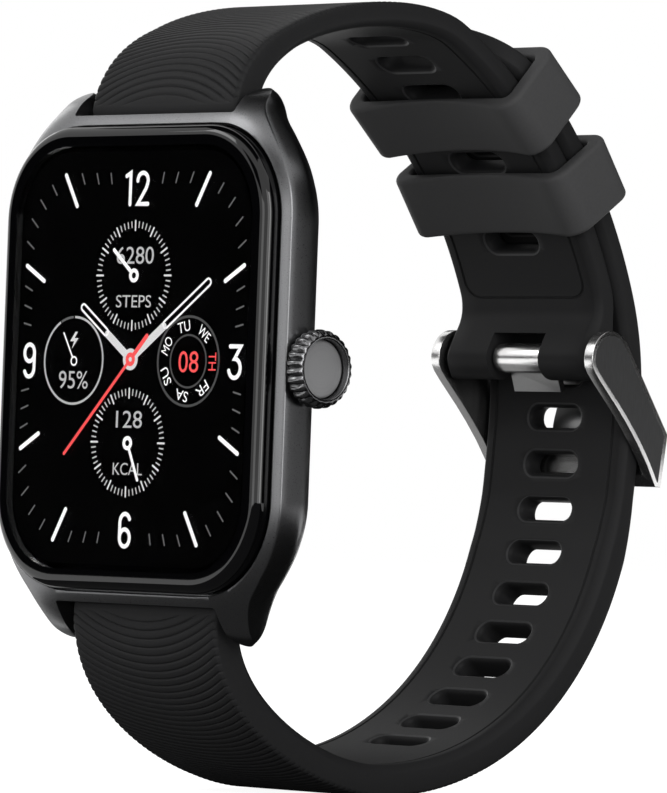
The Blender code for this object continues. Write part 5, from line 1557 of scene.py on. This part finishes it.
class MidLine:
    """A strap's mid-line in the Y, Z plane, which says where a run along it lies."""

    STEP = 0.2 * MM

    def __init__(self, points: np.ndarray, outward: float) -> None:
        """Keep the line.

        Args:
            points: The line's Y, Z points.
            outward: +1 or -1, for the side of the line that faces out of the loop.
        """
        self.points = points
        self.outward = outward
        lengths = np.linalg.norm(np.diff(points, axis=0), axis=1)
        self.runs = np.concatenate([[0.0], np.cumsum(lengths)])
        self.length = float(self.runs[-1])

    def at(self, runs: np.ndarray) -> np.ndarray:
        """Return the Y, Z places at distances along the line, which goes on straight past its ends.

        Args:
            runs: The distances.

        Returns:
            An array with a last axis of two.
        """
        parts = [np.interp(runs, self.runs, self.points[:, axis]) for axis in (0, 1)]
        places = np.stack(parts, axis=-1)
        for over, end, before in ((np.minimum(runs, 0.0), 0, 1), (np.maximum(runs - self.length, 0.0), -1, -2)):
            way = self.points[before] - self.points[end]
            way = way / np.linalg.norm(way)
            sign = 1.0 if end == 0 else -1.0
            places = places + sign * over[..., None] * way
        return places

    def lift(self, across: np.ndarray, runs: np.ndarray, heights: np.ndarray) -> np.ndarray:
        """Return the points at places across and along the strap and heights above its mid-line.

        Args:
            across: The X places.
            runs: The distances along the line.
            heights: The heights towards the outside of the loop.

        Returns:
            The X, Y, Z points.
        """
        heading = self.at(runs + self.STEP) - self.at(runs - self.STEP)
        heading /= np.linalg.norm(heading, axis=-1)[..., None]
        normal = self.outward * np.stack([-heading[..., 1], heading[..., 0]], axis=-1)
        places = self.at(runs) + normal * heights[..., None]
        return np.concatenate([across[..., None], places], axis=-1)


@dataclass
class Loop:
    """The sizes that both strap halves share, and the arc on which they overlap."""

    bar: Flat = (-6.2 * MM, 22.0 * MM)
    centre: Flat = (-0.55 * MM, -7.5 * MM)
    upper_radius: float = 42.85 * MM
    tail_radius: float = 45.35 * MM
    heel: Flat = (38.618 * MM, 2.193 * MM)
    thickness: float = 2.2 * MM
    barrel: float = 1.8 * MM
    heel_barrel: float = 2.0 * MM

    def polar(self, radius: float, turn: float) -> Flat:
        """Return a place about the centre of the overlap.

        Args:
            radius: Its distance from the centre.
            turn: Its direction in degrees.

        Returns:
            The Y, Z place.
        """
        angle = math.radians(turn)
        return self.centre[0] + radius * math.cos(angle), self.centre[1] + radius * math.sin(angle)

    def bend(self, radius: float, start: float, end: float) -> np.ndarray:
        """Return points along the overlap.

        Args:
            radius: The arc's radius.
            start: Where it starts, in degrees.
            end: Where it ends.

        Returns:
            The points.
        """
        return np.array([self.polar(radius, turn) for turn in np.linspace(start, end, 160)])

    def extended(self, spans: Sequence[np.ndarray], before: float, after: float) -> np.ndarray:
        """Join spans and lengthen the line straight at both ends.

        Args:
            spans: The spans, which share their end points.
            before: How far it goes on before the start.
            after: How far it goes on after the end.

        Returns:
            The line's points.
        """
        line = np.concatenate([spans[0]] + [part[1:] for part in spans[1:]])
        head = (line[0] - line[1]) / np.linalg.norm(line[0] - line[1])
        tail = (line[-1] - line[-2]) / np.linalg.norm(line[-1] - line[-2])
        parts = [line]
        if before:
            parts.insert(0, (line[0] + before * head)[None])
        if after:
            parts.append((line[-1] + after * tail)[None])
        return np.concatenate(parts)

    def upper_line(self) -> MidLine:
        """Return the mid-line of the half that carries the buckle."""
        joint = self.polar(self.upper_radius, 62.0)
        last = self.polar(self.upper_radius, 22.0)
        rise = span(self.bar, 86.0, 9.0 * MM, joint, -28.0, 6.0 * MM)
        heel = span(last, -68.0, 2.5 * MM, self.heel, -100.0, 2.0 * MM)
        spans = [rise, self.bend(self.upper_radius, 62.0, 22.0), heel]
        return MidLine(self.extended(spans, self.barrel, self.heel_barrel), 1.0)

    def lower_line(self) -> MidLine:
        """Return the mid-line of the half that has the slots and the tail."""
        bottom = (13.2 * MM, -36.2 * MM)
        back = self.polar(self.tail_radius - 1.57 * MM, -2.0)
        joint = self.polar(self.tail_radius, 20.0)
        drop = span((self.bar[0], -self.bar[1]), -95.0, 8.5 * MM, bottom, 0.0, 7.0 * MM)
        sweep = span(bottom, 0.0, 18.0 * MM, back, 85.0, 14.5 * MM)
        climb = span(back, 85.0, 6.3 * MM, joint, 110.0, 6.2 * MM)
        spans = [drop, sweep, climb, self.bend(self.tail_radius, 20.0, 57.5)]
        return MidLine(self.extended(spans, self.barrel, 0.0), -1.0)


@dataclass
class StrapHalf:
    """One half of the strap: ribbed outside, slotted, with a fine groove round its inner face."""

    loop: Loop
    line: MidLine
    name: str = "strap"
    end: float = 1.0
    transition: float = 9.0 * MM
    rib_start: float = 2.0 * MM
    rib_end: float = 30.0 * MM
    rib_pitch: float = 0.63 * MM
    rib_depth: float = 0.13 * MM
    rib_bow: float = 2.2 * MM
    panel: Flat = (6.0 * MM, 30.0 * MM)
    groove_inset: float = 1.55 * MM
    groove_radius: float = 0.17 * MM
    groove_corner: float = 1.7 * MM
    outer_edge: float = 0.42 * MM
    inner_edge: float = 0.8 * MM
    slot_length: float = 6.8 * MM
    slot_width: float = 2.5 * MM
    slot_pitch: float = 4.35 * MM
    slot_trim: float = 0.30 * MM
    prong_slot: int = -1
    row_step: float = 0.55 * MM
    rib_profile = ((0.0, -1.0), (0.08, -0.62), (0.15, -0.24), (0.27, -0.06),
                   (0.5, 0.0), (0.73, -0.06), (0.85, -0.24), (0.92, -0.62))

    def width(self, runs: np.ndarray) -> np.ndarray:
        """Return the strap's width at distances from its barrel's tip."""
        places = np.array((1.0, 2.4, 14.0, 40.0)) * MM + self.loop.barrel
        return np.interp(runs, places, np.array((18.5, 18.3, 18.2, 18.1)) * MM)

    def thickness(self, runs: np.ndarray) -> np.ndarray:
        """Return the strap's thickness at distances from its barrel's tip."""
        radius = self.loop.barrel
        nose = self.nose(runs, radius)
        body = np.interp((runs - radius) / self.transition, (0.0, 1.0), (2 * radius, self.loop.thickness))
        return np.where(runs < radius, nose, body)

    @staticmethod
    def nose(runs: np.ndarray, radius: float) -> np.ndarray:
        """Return the thickness of a round end at distances from its tip."""
        inside = np.clip(runs, 0.0, radius)
        return 2.0 * np.sqrt(np.maximum(radius**2 - (radius - inside) ** 2, 0.0))

    def end_rows(self) -> np.ndarray:
        """Return the rows of the half's far end."""
        raise NotImplementedError

    def rows(self) -> tuple[np.ndarray, np.ndarray]:
        """Return the distances of the cross sections and the height of the ribs at each."""
        turns = np.radians(np.linspace(8.0, 90.0, 10))
        start = self.loop.barrel * (1.0 - np.cos(turns))
        lead = np.arange(start[-1] + 0.2 * MM, self.rib_start - 0.1 * MM, 0.2 * MM)
        count = int((self.rib_end - self.rib_start) / self.rib_pitch)
        ribs, heights = [], []
        for number in range(count):
            fade = min(1.0, (number + 0.5) / 2.0, (count - number - 0.5) / 3.0)
            for phase, height in self.rib_profile:
                ribs.append(self.rib_start + (number + phase) * self.rib_pitch)
                heights.append(height * self.rib_depth * fade)
        after = self.rib_start + count * self.rib_pitch
        end = self.end_rows()
        body = np.arange(after, end[0] - 0.3 * self.row_step, self.row_step)
        rows = np.concatenate([start, lead, ribs, body, end])
        lifted = np.concatenate([np.zeros(len(start) + len(lead)), heights, np.zeros(len(body) + len(end))])
        return rows, lifted

    def skew(self, rows: np.ndarray) -> np.ndarray:
        """Return how far each row takes part in the bow of the ribs, from 0 to 1."""
        share = np.clip((self.rib_end + 8.0 * MM - rows) / (8.0 * MM), 0.0, 1.0)
        return share * share * (3.0 - 2.0 * share)

    def bowed(self, rows: np.ndarray, share: float) -> tuple[np.ndarray, np.ndarray]:
        """Return where rows lie at a share of the half width, and how much of their ribs shows there.

        Args:
            rows: The distances of the cross sections in the middle of the strap.
            share: The place across, from -1 to 1.

        Returns:
            The distances and the shares of the rib height.
        """
        least = np.minimum(rows, self.loop.barrel + 0.05 * (rows - self.loop.barrel))
        free = rows - self.rib_bow * self.skew(rows) * share**2
        return np.maximum(free, least), np.clip((free - least) / (0.4 * MM), 0.0, 1.0)

    def section(self, rows: np.ndarray, lifted: np.ndarray) -> np.ndarray:
        """Return the rings of the strap's body.

        Args:
            rows: The distances of the cross sections.
            lifted: The height of the ribs at each.

        Returns:
            The rings' points.
        """
        ends, shown = self.bowed(rows, 1.0)
        half = self.width(ends) / 2
        deep = self.thickness(ends) / 2
        edge = np.minimum(self.outer_edge, 0.55 * deep)
        inner = np.minimum(self.inner_edge, 0.6 * deep)
        columns = []
        for share in np.linspace(-1.0, 1.0, 27):
            runs, part = self.bowed(rows, share)
            columns.append((share * (half - edge), runs, self.thickness(runs) / 2 + part * lifted))
        rows, lifted = ends, shown * lifted
        side = []
        for turn, rib in ((30.0, 0.9), (60.0, 0.55), (90.0, 0.1)):
            angle = math.radians(turn)
            x = half - edge + edge * math.sin(angle)
            side.append((x, rows, deep - edge + edge * math.cos(angle) + rib * lifted))
        side.append((half, rows, 0.5 * (inner - edge)))
        side.append((half, rows, 1.08 * inner - deep))
        side.append((half - 0.10 * inner, rows, 0.82 * inner - deep))
        side.append((half - 0.82 * inner, rows, 0.10 * inner - deep))
        under = [(half - 1.08 * inner, rows, -deep)]
        for share in np.linspace(1.0, -1.0, 9)[1:-1]:
            under.append((share * (half - 1.08 * inner), rows, -deep))
        under.append((1.08 * inner - half, rows, -deep))
        mirrored = [(-x, runs, height) for x, runs, height in reversed(side)]
        points = [self.line.lift(*column) for column in columns + side + under + mirrored]
        return np.stack(points, axis=1)

    def slot_runs(self) -> list[float]:
        """Return how far along the strap the middle of each slot lies."""
        raise NotImplementedError

    def slot_cutter(self) -> bpy.types.Object:
        """Return one tool with a stadium-shaped plug for every slot, flared at both faces."""
        straight = (self.slot_length - self.slot_width) / 2
        tools = []
        for number, run in enumerate(self.slot_runs()):
            trim = 0.0 if number == self.prong_slot else self.slot_trim
            deep = float(self.thickness(np.array([run]))[0]) / 2
            lips = ((deep - 0.55 * MM, 0.0), (deep - 0.30 * MM, 0.08), (deep - 0.10 * MM, 0.26), (deep, 0.44), (deep + 0.2 * MM, 0.7))
            rings = []
            for level, grow in [(-level, grow) for level, grow in reversed(lips)] + list(lips):
                radius = self.slot_width / 2 + grow * MM - trim
                radii = (radius, radius)
                outline = arc((straight, 0.0), radii, -90.0, 90.0) + arc((-straight, 0.0), radii, 90.0, 270.0)
                flat = np.array(outline)
                rings.append(self.line.lift(flat[:, 0], run + flat[:, 1], np.full(len(flat), level)))
            tool = Form.skin("slot_tool", np.array(rings))
            self.mark_lips(tool, len(rings[0]), len(rings))
            tools.append(tool)
        return Bench.join("slot_tools", tools)

    @staticmethod
    def mark_lips(tool: bpy.types.Object, size: int, count: int) -> None:
        """Give the rows of a slot tool that shape the slot's lips a lighter silicone, a painted highlight along the
        lips.

        Args:
            tool: The tool, whose faces lie row by row.
            size: The points of a row.
            count: How many rows of points there are.
        """
        for finish in (SILICONE, LIP_HIGHLIGHT):
            tool.data.materials.append(finish.material())
        for row in (1, count - 3):
            for index in range(row * size, (row + 1) * size):
                tool.data.polygons[index].material_index = 1

    def groove_cutter(self) -> bpy.types.Object:
        """Return a thin endless tube along the outline of the inner panel."""
        low, high = self.panel
        middle = (low + high) / 2
        half = (float(self.width(np.array([middle]))[0]) / 2 - self.groove_inset, (high - low) / 2)
        outline = Form.rounded(half, self.groove_corner, 12, 90)
        ahead = np.roll(outline, -1, axis=0) - np.roll(outline, 1, axis=0)
        ahead /= np.linalg.norm(ahead, axis=1)[:, None]
        side = np.stack([ahead[:, 1], -ahead[:, 0]], axis=1)
        rings = []
        for turn in np.radians(np.arange(0.0, 360.0, 45.0) + 22.5):
            flat = outline + side * self.groove_radius * math.cos(turn)
            runs = flat[:, 1] + middle
            taper = self.width(runs) - self.width(np.full(len(runs), middle))
            x = flat[:, 0] + 0.5 * taper * flat[:, 0] / half[0]
            heights = self.groove_radius * math.sin(turn) - self.thickness(runs) / 2
            rings.append(self.line.lift(x, runs, heights))
        return Form.skin("groove_tool", np.array(rings), endless=True)

    def bar_cutters(self) -> list[bpy.types.Object]:
        """Return the tools of the spring bar's bore and of its release window."""
        place = (0.0, self.loop.bar[0], self.end * self.loop.bar[1])
        turn = (0.0, math.radians(90.0), 0.0)
        bpy.ops.object.select_all(action="DESELECT")
        bpy.ops.mesh.primitive_cylinder_add(vertices=40, radius=0.88 * MM, depth=40 * MM, location=place, rotation=turn)
        bore = bpy.context.active_object
        reach = 2 * self.loop.barrel
        middle = (4.55 * MM, place[1] + reach / 2, place[2])
        bpy.ops.object.select_all(action="DESELECT")
        bpy.ops.mesh.primitive_cube_add(size=1.0, location=middle, scale=(3.1 * MM, reach, 2.0 * MM))
        window = bpy.context.active_object
        Bench.take(window)
        bpy.ops.object.transform_apply(location=True, rotation=True, scale=True)
        return [bore, window]

    def cutters(self) -> list[bpy.types.Object]:
        """Return every tool that is cut out of the strap, in order."""
        return [self.groove_cutter(), self.slot_cutter(), *self.bar_cutters()]

    def build(self) -> bpy.types.Object:
        """Make the strap half and return it before it is joined to the watch."""
        rows, lifted = self.rows()
        strap = Form.skin(self.name, self.section(rows, lifted))
        # The second finish paints a highlight on the slots' lips.
        for finish in (SILICONE, LIP_HIGHLIGHT):
            strap.data.materials.append(finish.material())
        for tool in self.cutters():
            Bench.cut(strap, tool)
        return strap


@dataclass
class UpperStrap(StrapHalf):
    """The half at twelve o'clock, which carries the buckle."""

    name: str = "upper_strap"
    rib_end: float = 27.0 * MM
    panel: Flat = (7.0 * MM, 62.1 * MM)
    heel_transition: float = 4.0 * MM
    first_slot: float = 13.7 * MM
    slots: int = 7
    notch_half: float = 3.3 * MM

    def thickness(self, runs: np.ndarray) -> np.ndarray:
        """Return the thickness, with the round heel that holds the buckle's bar."""
        left = self.line.length - runs
        radius = self.loop.heel_barrel
        share = (left - radius) / self.heel_transition
        swell = np.interp(share, (0.0, 1.0), (2 * radius, self.loop.thickness))
        body = np.maximum(swell, super().thickness(runs))
        return np.where(left < radius, self.nose(left, radius), body)

    def end_rows(self) -> np.ndarray:
        """Return the rows of the round heel."""
        turns = np.radians(np.linspace(90.0, 8.0, 10))
        radius = self.loop.heel_barrel
        return self.line.length - radius * (1.0 - np.cos(turns))

    def slot_runs(self) -> list[float]:
        """Return how far along the strap the middle of each slot lies."""
        last = self.line.length - self.first_slot
        return [last - self.slot_pitch * index for index in range(self.slots)]

    def cutters(self) -> list[bpy.types.Object]:
        """Return the shared tools, the heel's bore and the prong's notch."""
        tools = super().cutters()
        place = (0.0, *self.loop.heel)
        turn = (0.0, math.radians(90.0), 0.0)
        bpy.ops.object.select_all(action="DESELECT")
        bpy.ops.mesh.primitive_cylinder_add(vertices=40, radius=0.83 * MM, depth=40 * MM, location=place, rotation=turn)
        tools.append(bpy.context.active_object)
        reach = self.loop.heel_barrel + 0.3 * MM
        middle = (0.0, place[1], place[2] - reach / 2)
        size = (2 * self.notch_half, 4 * reach, 3 * reach)
        bpy.ops.object.select_all(action="DESELECT")
        bpy.ops.mesh.primitive_cube_add(size=1.0, location=middle, scale=size)
        notch = bpy.context.active_object
        Bench.take(notch)
        bpy.ops.object.transform_apply(location=True, rotation=True, scale=True)
        tools.append(notch)
        return tools

    def dress(self) -> None:
        """Make the half and let it ride on its swinging body."""
        strap = self.build()
        # Its second finish is the painted highlight on the slots' lips.
        Bench.settle(strap, [SILICONE, LIP_HIGHLIGHT], "strap_12", "silicone", ["strap_upper"], 38.0)


@dataclass
class LowerStrap(StrapHalf):
    """The half at six o'clock with the row of slots and the tail."""

    name: str = "lower_strap"
    end: float = -1.0
    transition: float = 26.0 * MM
    rib_end: float = 44.0 * MM
    panel: Flat = (7.0 * MM, 110.0 * MM)
    tip_length: float = 6.0 * MM
    tip_blunt: float = 1.06
    prong_drop: float = 0.95 * MM
    slots_below: int = 10
    prong_slot: int = 10
    slots_above: int = 6
    tail_shift: float = 1.7 * MM
    full_runs = (1.8 * MM, 22.0 * MM, 66.0 * MM, 71.5 * MM)
    full_sizes = (3.6 * MM, 2.85 * MM, 2.85 * MM, 2.2 * MM)

    def width(self, runs: np.ndarray) -> np.ndarray:
        """Return the width, which narrows to the round tip of the tail."""
        share = (runs - self.line.length + self.tip_length) / (self.tip_length * self.tip_blunt)
        narrow = np.sqrt(1.0 - np.clip(share, 0.0, 0.95) ** 2)
        return super().width(runs) * narrow

    def thickness(self, runs: np.ndarray) -> np.ndarray:
        """Return the thickness, which stays fuller until the strap comes to the buckle."""
        body = np.interp(runs, self.full_runs, self.full_sizes)
        return np.where(runs < self.full_runs[0], super().thickness(runs), body)

    def end_rows(self) -> np.ndarray:
        """Return the rows of the tail's tip."""
        parts = np.sin(np.radians(np.linspace(0.0, 90.0, 20)))
        return self.line.length - self.tip_length + self.tip_length * parts

    def slot_runs(self) -> list[float]:
        """Return how far along the strap the middle of each slot lies."""
        heel = self.loop.heel
        rising = self.line.points[:, 0] > 0.5 * (heel[0] + 13.2 * MM)
        heights = self.line.points[rising, 1]
        prong = float(np.interp(heel[1] - self.prong_drop, heights, self.line.runs[rising]))
        below = [prong + self.slot_pitch * step for step in range(-self.slots_below, 1)]
        above = [prong + self.tail_shift + self.slot_pitch * step for step in range(1, self.slots_above + 1)]
        return below + above

    def dress(self) -> None:
        """Make the half, shade it smooth and bake its place into its mesh."""
        strap = self.build()
        Bench.take(strap)
        bpy.ops.object.shade_smooth_by_angle(angle=math.radians(38.0))
        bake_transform(strap)
        Bench.register(strap, "silicone", ["strap_lower"])


@dataclass
class Keeper:
    """One rubber keeper round both strap layers."""

    name: str
    node: str
    body: str
    turn: float
    loop: Loop
    radius: float = 44.1 * MM
    length: float = 6.2 * MM
    outer: Flat = (10.9 * MM, 4.1 * MM)
    inner: Flat = (9.4 * MM, 2.7 * MM)
    outer_corner: float = 1.9 * MM
    inner_corner: float = 0.7 * MM
    bow: float = 1.0 * MM
    edge: float = 0.46 * MM

    def build(self) -> None:
        """Make the keeper as an endless wall with round edges."""
        outside = Form.rounded(self.outer, self.outer_corner, 12, 14)
        flat = self.outer[0] - self.outer_corner
        low = outside[:, 1] < 0
        share = np.clip(outside[:, 0] / flat, -1.0, 1.0)
        outside[:, 1] += np.where(low, self.bow * (1.0 - share**2), 0.0)
        inside = Form.rounded(self.inner, self.inner_corner, 12, 14)
        wall = self.outer[0] - self.inner[0]
        half = self.length / 2
        profile = []
        for turn in np.radians(np.linspace(0.0, 90.0, 6)):
            profile.append((self.edge * (1.0 - math.sin(turn)), half - self.edge * (1.0 - math.cos(turn))))
        steps = [(share, level) for share, level in reversed(profile)]
        steps = [(depth / wall, level) for depth, level in self.lip(0.0, half, 1.0)]
        steps += [(1.0 - depth / wall, level) for depth, level in reversed(self.lip(0.0, half, 0.7))]
        mirrored = [(share, -level) for share, level in reversed(steps)]
        rings = []
        angle = math.radians(self.turn)
        for share, level in steps + mirrored:
            ring = outside * (1.0 - share) + inside * share
            y = self.radius + ring[:, 1]
            turned_y = self.loop.centre[0] + y * math.cos(angle) - level * math.sin(angle)
            turned_z = self.loop.centre[1] + y * math.sin(angle) + level * math.cos(angle)
            rings.append(np.stack([ring[:, 0], turned_y, turned_z], axis=1))
        keeper = Form.skin(self.name, np.array(rings), endless=True)
        Bench.settle(keeper, [KEEPER_RUBBER], self.body, "keeper_rubber", [self.node], 50.0)

    def lip(self, depth: float, half: float, share: float) -> list[Flat]:
        """Return the rounding of one edge as depths into the wall and levels.

        Args:
            depth: The depth at which the rounding starts.
            half: Half of the keeper's length.
            share: How much of the usual edge radius it has.

        Returns:
            The steps from the wall's side to its end.
        """
        radius = self.edge * share
        steps = []
        for turn in np.radians(np.linspace(0.0, 90.0, 6)):
            steps.append((depth + radius * (1.0 - math.cos(turn)), half - radius * (1.0 - math.sin(turn))))
        return steps


@dataclass
class Buckle:
    """The pin buckle: a polished frame with satin side faces, a heel bar and a prong."""

    heel: Flat = (38.618 * MM, 2.193 * MM)
    plate_x: float = 10.35 * MM
    frame_edge: float = 0.42 * MM
    rim: float = 0.44 * MM
    inlay: float = 0.012 * MM
    prong_edge: float = 0.16 * MM
    bar_edge: float = 0.15 * MM
    barrel: float = 1.45 * MM
    eye: Flat = (0.4 * MM, 0.0)
    eye_radius: float = 2.55 * MM
    eye_turn: Flat = (39.15, 197.15)
    end_top: Flat = (8.194 * MM, -6.6 * MM)
    end_low: Flat = (7.494 * MM, -11.4 * MM)
    end_width: float = 0.75 * MM
    blade_y: float = 45.0 * MM
    blade_ends: Flat = (-0.43 * MM, -8.31 * MM)
    blade_bow: float = 0.8 * MM

    def build(self) -> None:
        """Make every piece."""
        self.make_frame()
        for side, word in ((1.0, "right"), (-1.0, "left")):
            self.make_inlay(side, word)
        self.make_bar()
        self.make_prong()

    def make_frame(self) -> None:
        """Make the polished frame with soft edges."""
        item = Form.copy_node("buckle_frame", "buckle_body")
        Bench.bevel(item, self.frame_edge, 4, 30.0)
        Bench.settle(item, [POLISHED], "buckle", "polished_steel", ["buckle_frame"], 35.0)

    def plate(self) -> np.ndarray:
        """Return the outline of a side plate about the heel bar, inset by its polished rim."""
        eye = arc(self.eye, (self.eye_radius, self.eye_radius), *self.eye_turn, 24)
        inner = (self.end_low[0] - self.end_width, self.end_low[1])
        edge = span(eye[-1], -70.0, 1.4 * MM, inner, -62.0, 6.5 * MM)[10::10]
        outline = np.array(eye + [tuple(point) for point in edge] + [inner, self.end_low, self.end_top])
        ahead = np.roll(outline, -1, axis=0) - outline
        ahead /= np.linalg.norm(ahead, axis=1)[:, None]
        normal = np.stack([-ahead[:, 1], ahead[:, 0]], axis=1)
        before = np.roll(normal, 1, axis=0)
        middle = normal + before
        middle /= np.sum(middle * normal, axis=1)[:, None]
        return outline + self.rim * middle

    def make_inlay(self, side: float, word: str) -> None:
        """Make the satin face of one side plate.

        Args:
            side: +1 or -1 for the crown side or the other one.
            word: The word in its name.
        """
        outline = self.plate() + np.array(self.heel)
        top = side * (self.plate_x + self.inlay)
        item = Form.prism(outline, 0, top - side * 0.05 * MM, top)
        item.name = "buckle_face_" + word
        Bench.settle(item, [SATIN_PLATE], "buckle", "polished_steel", ["buckle_frame"], 35.0)

    def make_bar(self) -> None:
        """Make the heel bar with soft ends."""
        item = Form.copy_node("heel_bar", "buckle_bar")
        Bench.bevel(item, self.bar_edge, 3, 50.0)
        Bench.settle(item, [POLISHED], "buckle", "polished_steel", ["heel_bar"], 35.0)

    def bow_blade(self, item: bpy.types.Object) -> None:
        """Bow the outer run of the prong's blade towards the strap.

        Args:
            item: The prong.
        """
        start, end = self.blade_ends
        Bench.take(item)
        for level in np.linspace(start, end, 13)[1:-1]:
            bpy.ops.object.mode_set(mode="EDIT")
            bpy.ops.mesh.select_all(action="SELECT")
            bpy.ops.mesh.bisect(plane_co=(0.0, 0.0, level), plane_no=(0.0, 0.0, 1.0))
            Bench.leave()
        for vertex in item.data.vertices:
            share = (start - vertex.co.z) / (start - end)
            if vertex.co.y > self.blade_y and 0.0 < share < 1.0:
                vertex.co.y -= self.blade_bow * math.sin(math.pi * share) ** 2

    def make_prong(self) -> None:
        """Make the prong: a polished barrel and a satin blade."""
        item = Form.copy_node("prong", "buckle_prong")
        self.bow_blade(item)
        Bench.bevel(item, self.prong_edge, 3, 40.0)
        for face in item.data.polygons:
            away = math.hypot(face.center.y - self.heel[0], face.center.z - self.heel[1])
            face.material_index = 1 if away > self.barrel else 0
        Bench.settle(item, [POLISHED, SATIN_BLADE], "prong", "polished_steel", ["prong"], 35.0)


@dataclass
class BackPlate:
    """The back: plate, screws, charging contacts and the raised sensor."""

    edge: float = 0.08 * MM
    sensor_radius: float = 8.4 * MM
    back_y: float = -1.1 * MM
    seat_y: float = -1.9 * MM
    print_radii: Flat = (5.75 * MM, 5.5 * MM)
    lens_radius: float = 1.15 * MM
    lens_reach: float = 3.4 * MM
    proud: float = 0.012 * MM

    def build(self) -> None:
        """Make every piece of the back."""
        plate = Form.copy_node("case_back", "back_plate")
        Bench.bevel(plate, self.edge, 2, 40.0)
        Bench.settle(plate, [BACK_PLASTIC], "case", "black_plastic", ["case_back"], 35.0)
        for number in range(1, 5):
            node = "back_screw_%d" % number
            screw = Form.copy_node(node, "screw_%d" % number)
            Bench.bevel(screw, 0.06 * MM, 2, 50.0)
            Bench.settle(screw, [STEEL], "case", "steel", [node], 35.0)
        for word in ("left", "right"):
            node = "charge_contact_" + word
            pad = Form.copy_node(node, "contact_" + word)
            Bench.bevel(pad, 0.12 * MM, 3, 50.0)
            Bench.settle(pad, [GOLD], "case", "gold_contact", [node], 35.0)
        self.make_sensor()
        self.make_optics()

    @staticmethod
    def ring(radius: float, level: float, centre: Flat = (0.0, 0.0)) -> np.ndarray:
        """Return a ring that faces the wrist.

        Args:
            radius: Its radius.
            level: Its Y.
            centre: The X and Z of its middle.

        Returns:
            The ring's points.
        """
        turns = np.linspace(0.0, 2 * math.pi, 96, endpoint=False)
        x = centre[0] + radius * np.cos(turns)
        z = centre[1] + radius * np.sin(turns)
        return np.stack([x, np.full(96, level), z], axis=1)

    def make_optics(self) -> None:
        """Make the printed ring of the sensor and the five lenses inside it."""
        outer, inner = self.print_radii
        steps = ((outer, -self.proud), (outer, self.proud), (inner, self.proud), (inner, -self.proud))
        rings = np.array([self.ring(radius, level) for radius, level in steps])
        item = Form.skin("sensor_ring", rings, endless=True)
        Bench.settle(item, [OPTIC_RING], "case", "black_glass", ["sensor_window"], 30.0)
        for number in range(5):
            turn = math.radians(45.0 + 90.0 * number)
            reach = self.lens_reach if number else 0.0
            centre = (reach * math.cos(turn), reach * math.sin(turn))
            rings = []
            for share, level in ((1.0, -1.0), (1.0, 0.5), (0.93, 1.2), (0.75, 1.8), (0.4, 2.0)):
                rings.append(self.ring(self.lens_radius * share, self.proud * level, centre))
            lens = Form.skin("sensor_lens_%d" % (number + 1), np.array(rings))
            Bench.settle(lens, [OPTIC], "case", "black_glass", ["sensor_window"], 40.0)

    def make_sensor(self) -> None:
        """Make the domed sensor window."""
        steps = [(self.sensor_radius, self.seat_y), (self.sensor_radius, -0.86 * MM)]
        for share in np.linspace(0.15, 1.0, 9):
            angle = math.radians(90.0 * share)
            steps.append((6.8 * MM + 1.6 * MM * math.cos(angle), -0.86 * MM + 0.86 * MM * math.sin(angle)))
        rings = np.array([self.ring(radius, level) for radius, level in steps])
        window = Form.skin("sensor_dome", rings)
        Bench.settle(window, [SENSOR_GLASS], "case", "black_glass", ["sensor_window"], 30.0)


@dataclass
class Inside:
    """The coils of the spring bars, and the nodes that keep their own solids with a procedural finish."""

    coil_end: Place = (-8.8 * MM, 0.0, 0.0)
    coil_keep: float = 0.87

    def make_coil(self, word: str) -> None:
        """Make the coil of one spring bar as a merged copy of its CAD node.

        Args:
            word: Which bar it belongs to, upper or lower.
        """
        node = "%s_bar_spring" % word
        coil = Form.copy_node(node, word + "_coil", 0.0)
        Bench.settle(coil, [STEEL], "case", "steel", [node], 50.0)
        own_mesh(coil)

    def build(self) -> None:
        """Dress every CAD node that is still shown."""
        finishes = {
            "back_seal": SEAL_RUBBER, "glass_seal": SEAL_RUBBER, "crown_seal": SEAL_RUBBER,
            "display_panel": PANEL, "inner_bracket": STEEL, "main_board": BOARD, "sensor_board": BOARD,
            "battery": WRAP, "vibration_motor": STEEL, "speaker": BACK_PLASTIC, "microphone": STEEL,
            "crown_shaft": STEEL, "crown_clip": STEEL, "crown_bushing": STEEL,
            "crown_yoke": BACK_PLASTIC, "crown_switch": BACK_PLASTIC,
        }
        for word in ("upper", "lower"):
            for part in ("sleeve", "pin"):
                finishes["%s_bar_%s" % (word, part)] = STEEL
            self.make_coil(word)
        for node, finish in finishes.items():
            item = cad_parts[node]
            item.data.materials.clear()
            item.data.materials.append(finish.material())
            LOG.info("%s keeps its solid", node)


def main() -> None:
    """Build the watch and its studio."""
    logging.basicConfig(level=logging.INFO, format="%(name)s: %(message)s")
    loop = Loop()
    CaseShell().build()
    CoverGlass().build()
    Dial().build()
    Crown().build()
    UpperStrap(loop, loop.upper_line()).dress()
    LowerStrap(loop, loop.lower_line()).dress()
    Keeper("keeper_high", "keeper_upper", "keeper_a", 47.5, loop).build()
    Keeper("keeper_low", "keeper_lower", "keeper_b", 35.0, loop).build()
    Buckle().build()
    BackPlate().build()
    Inside().build()
    Studio().build()


if __name__ == "__main__":
    main()
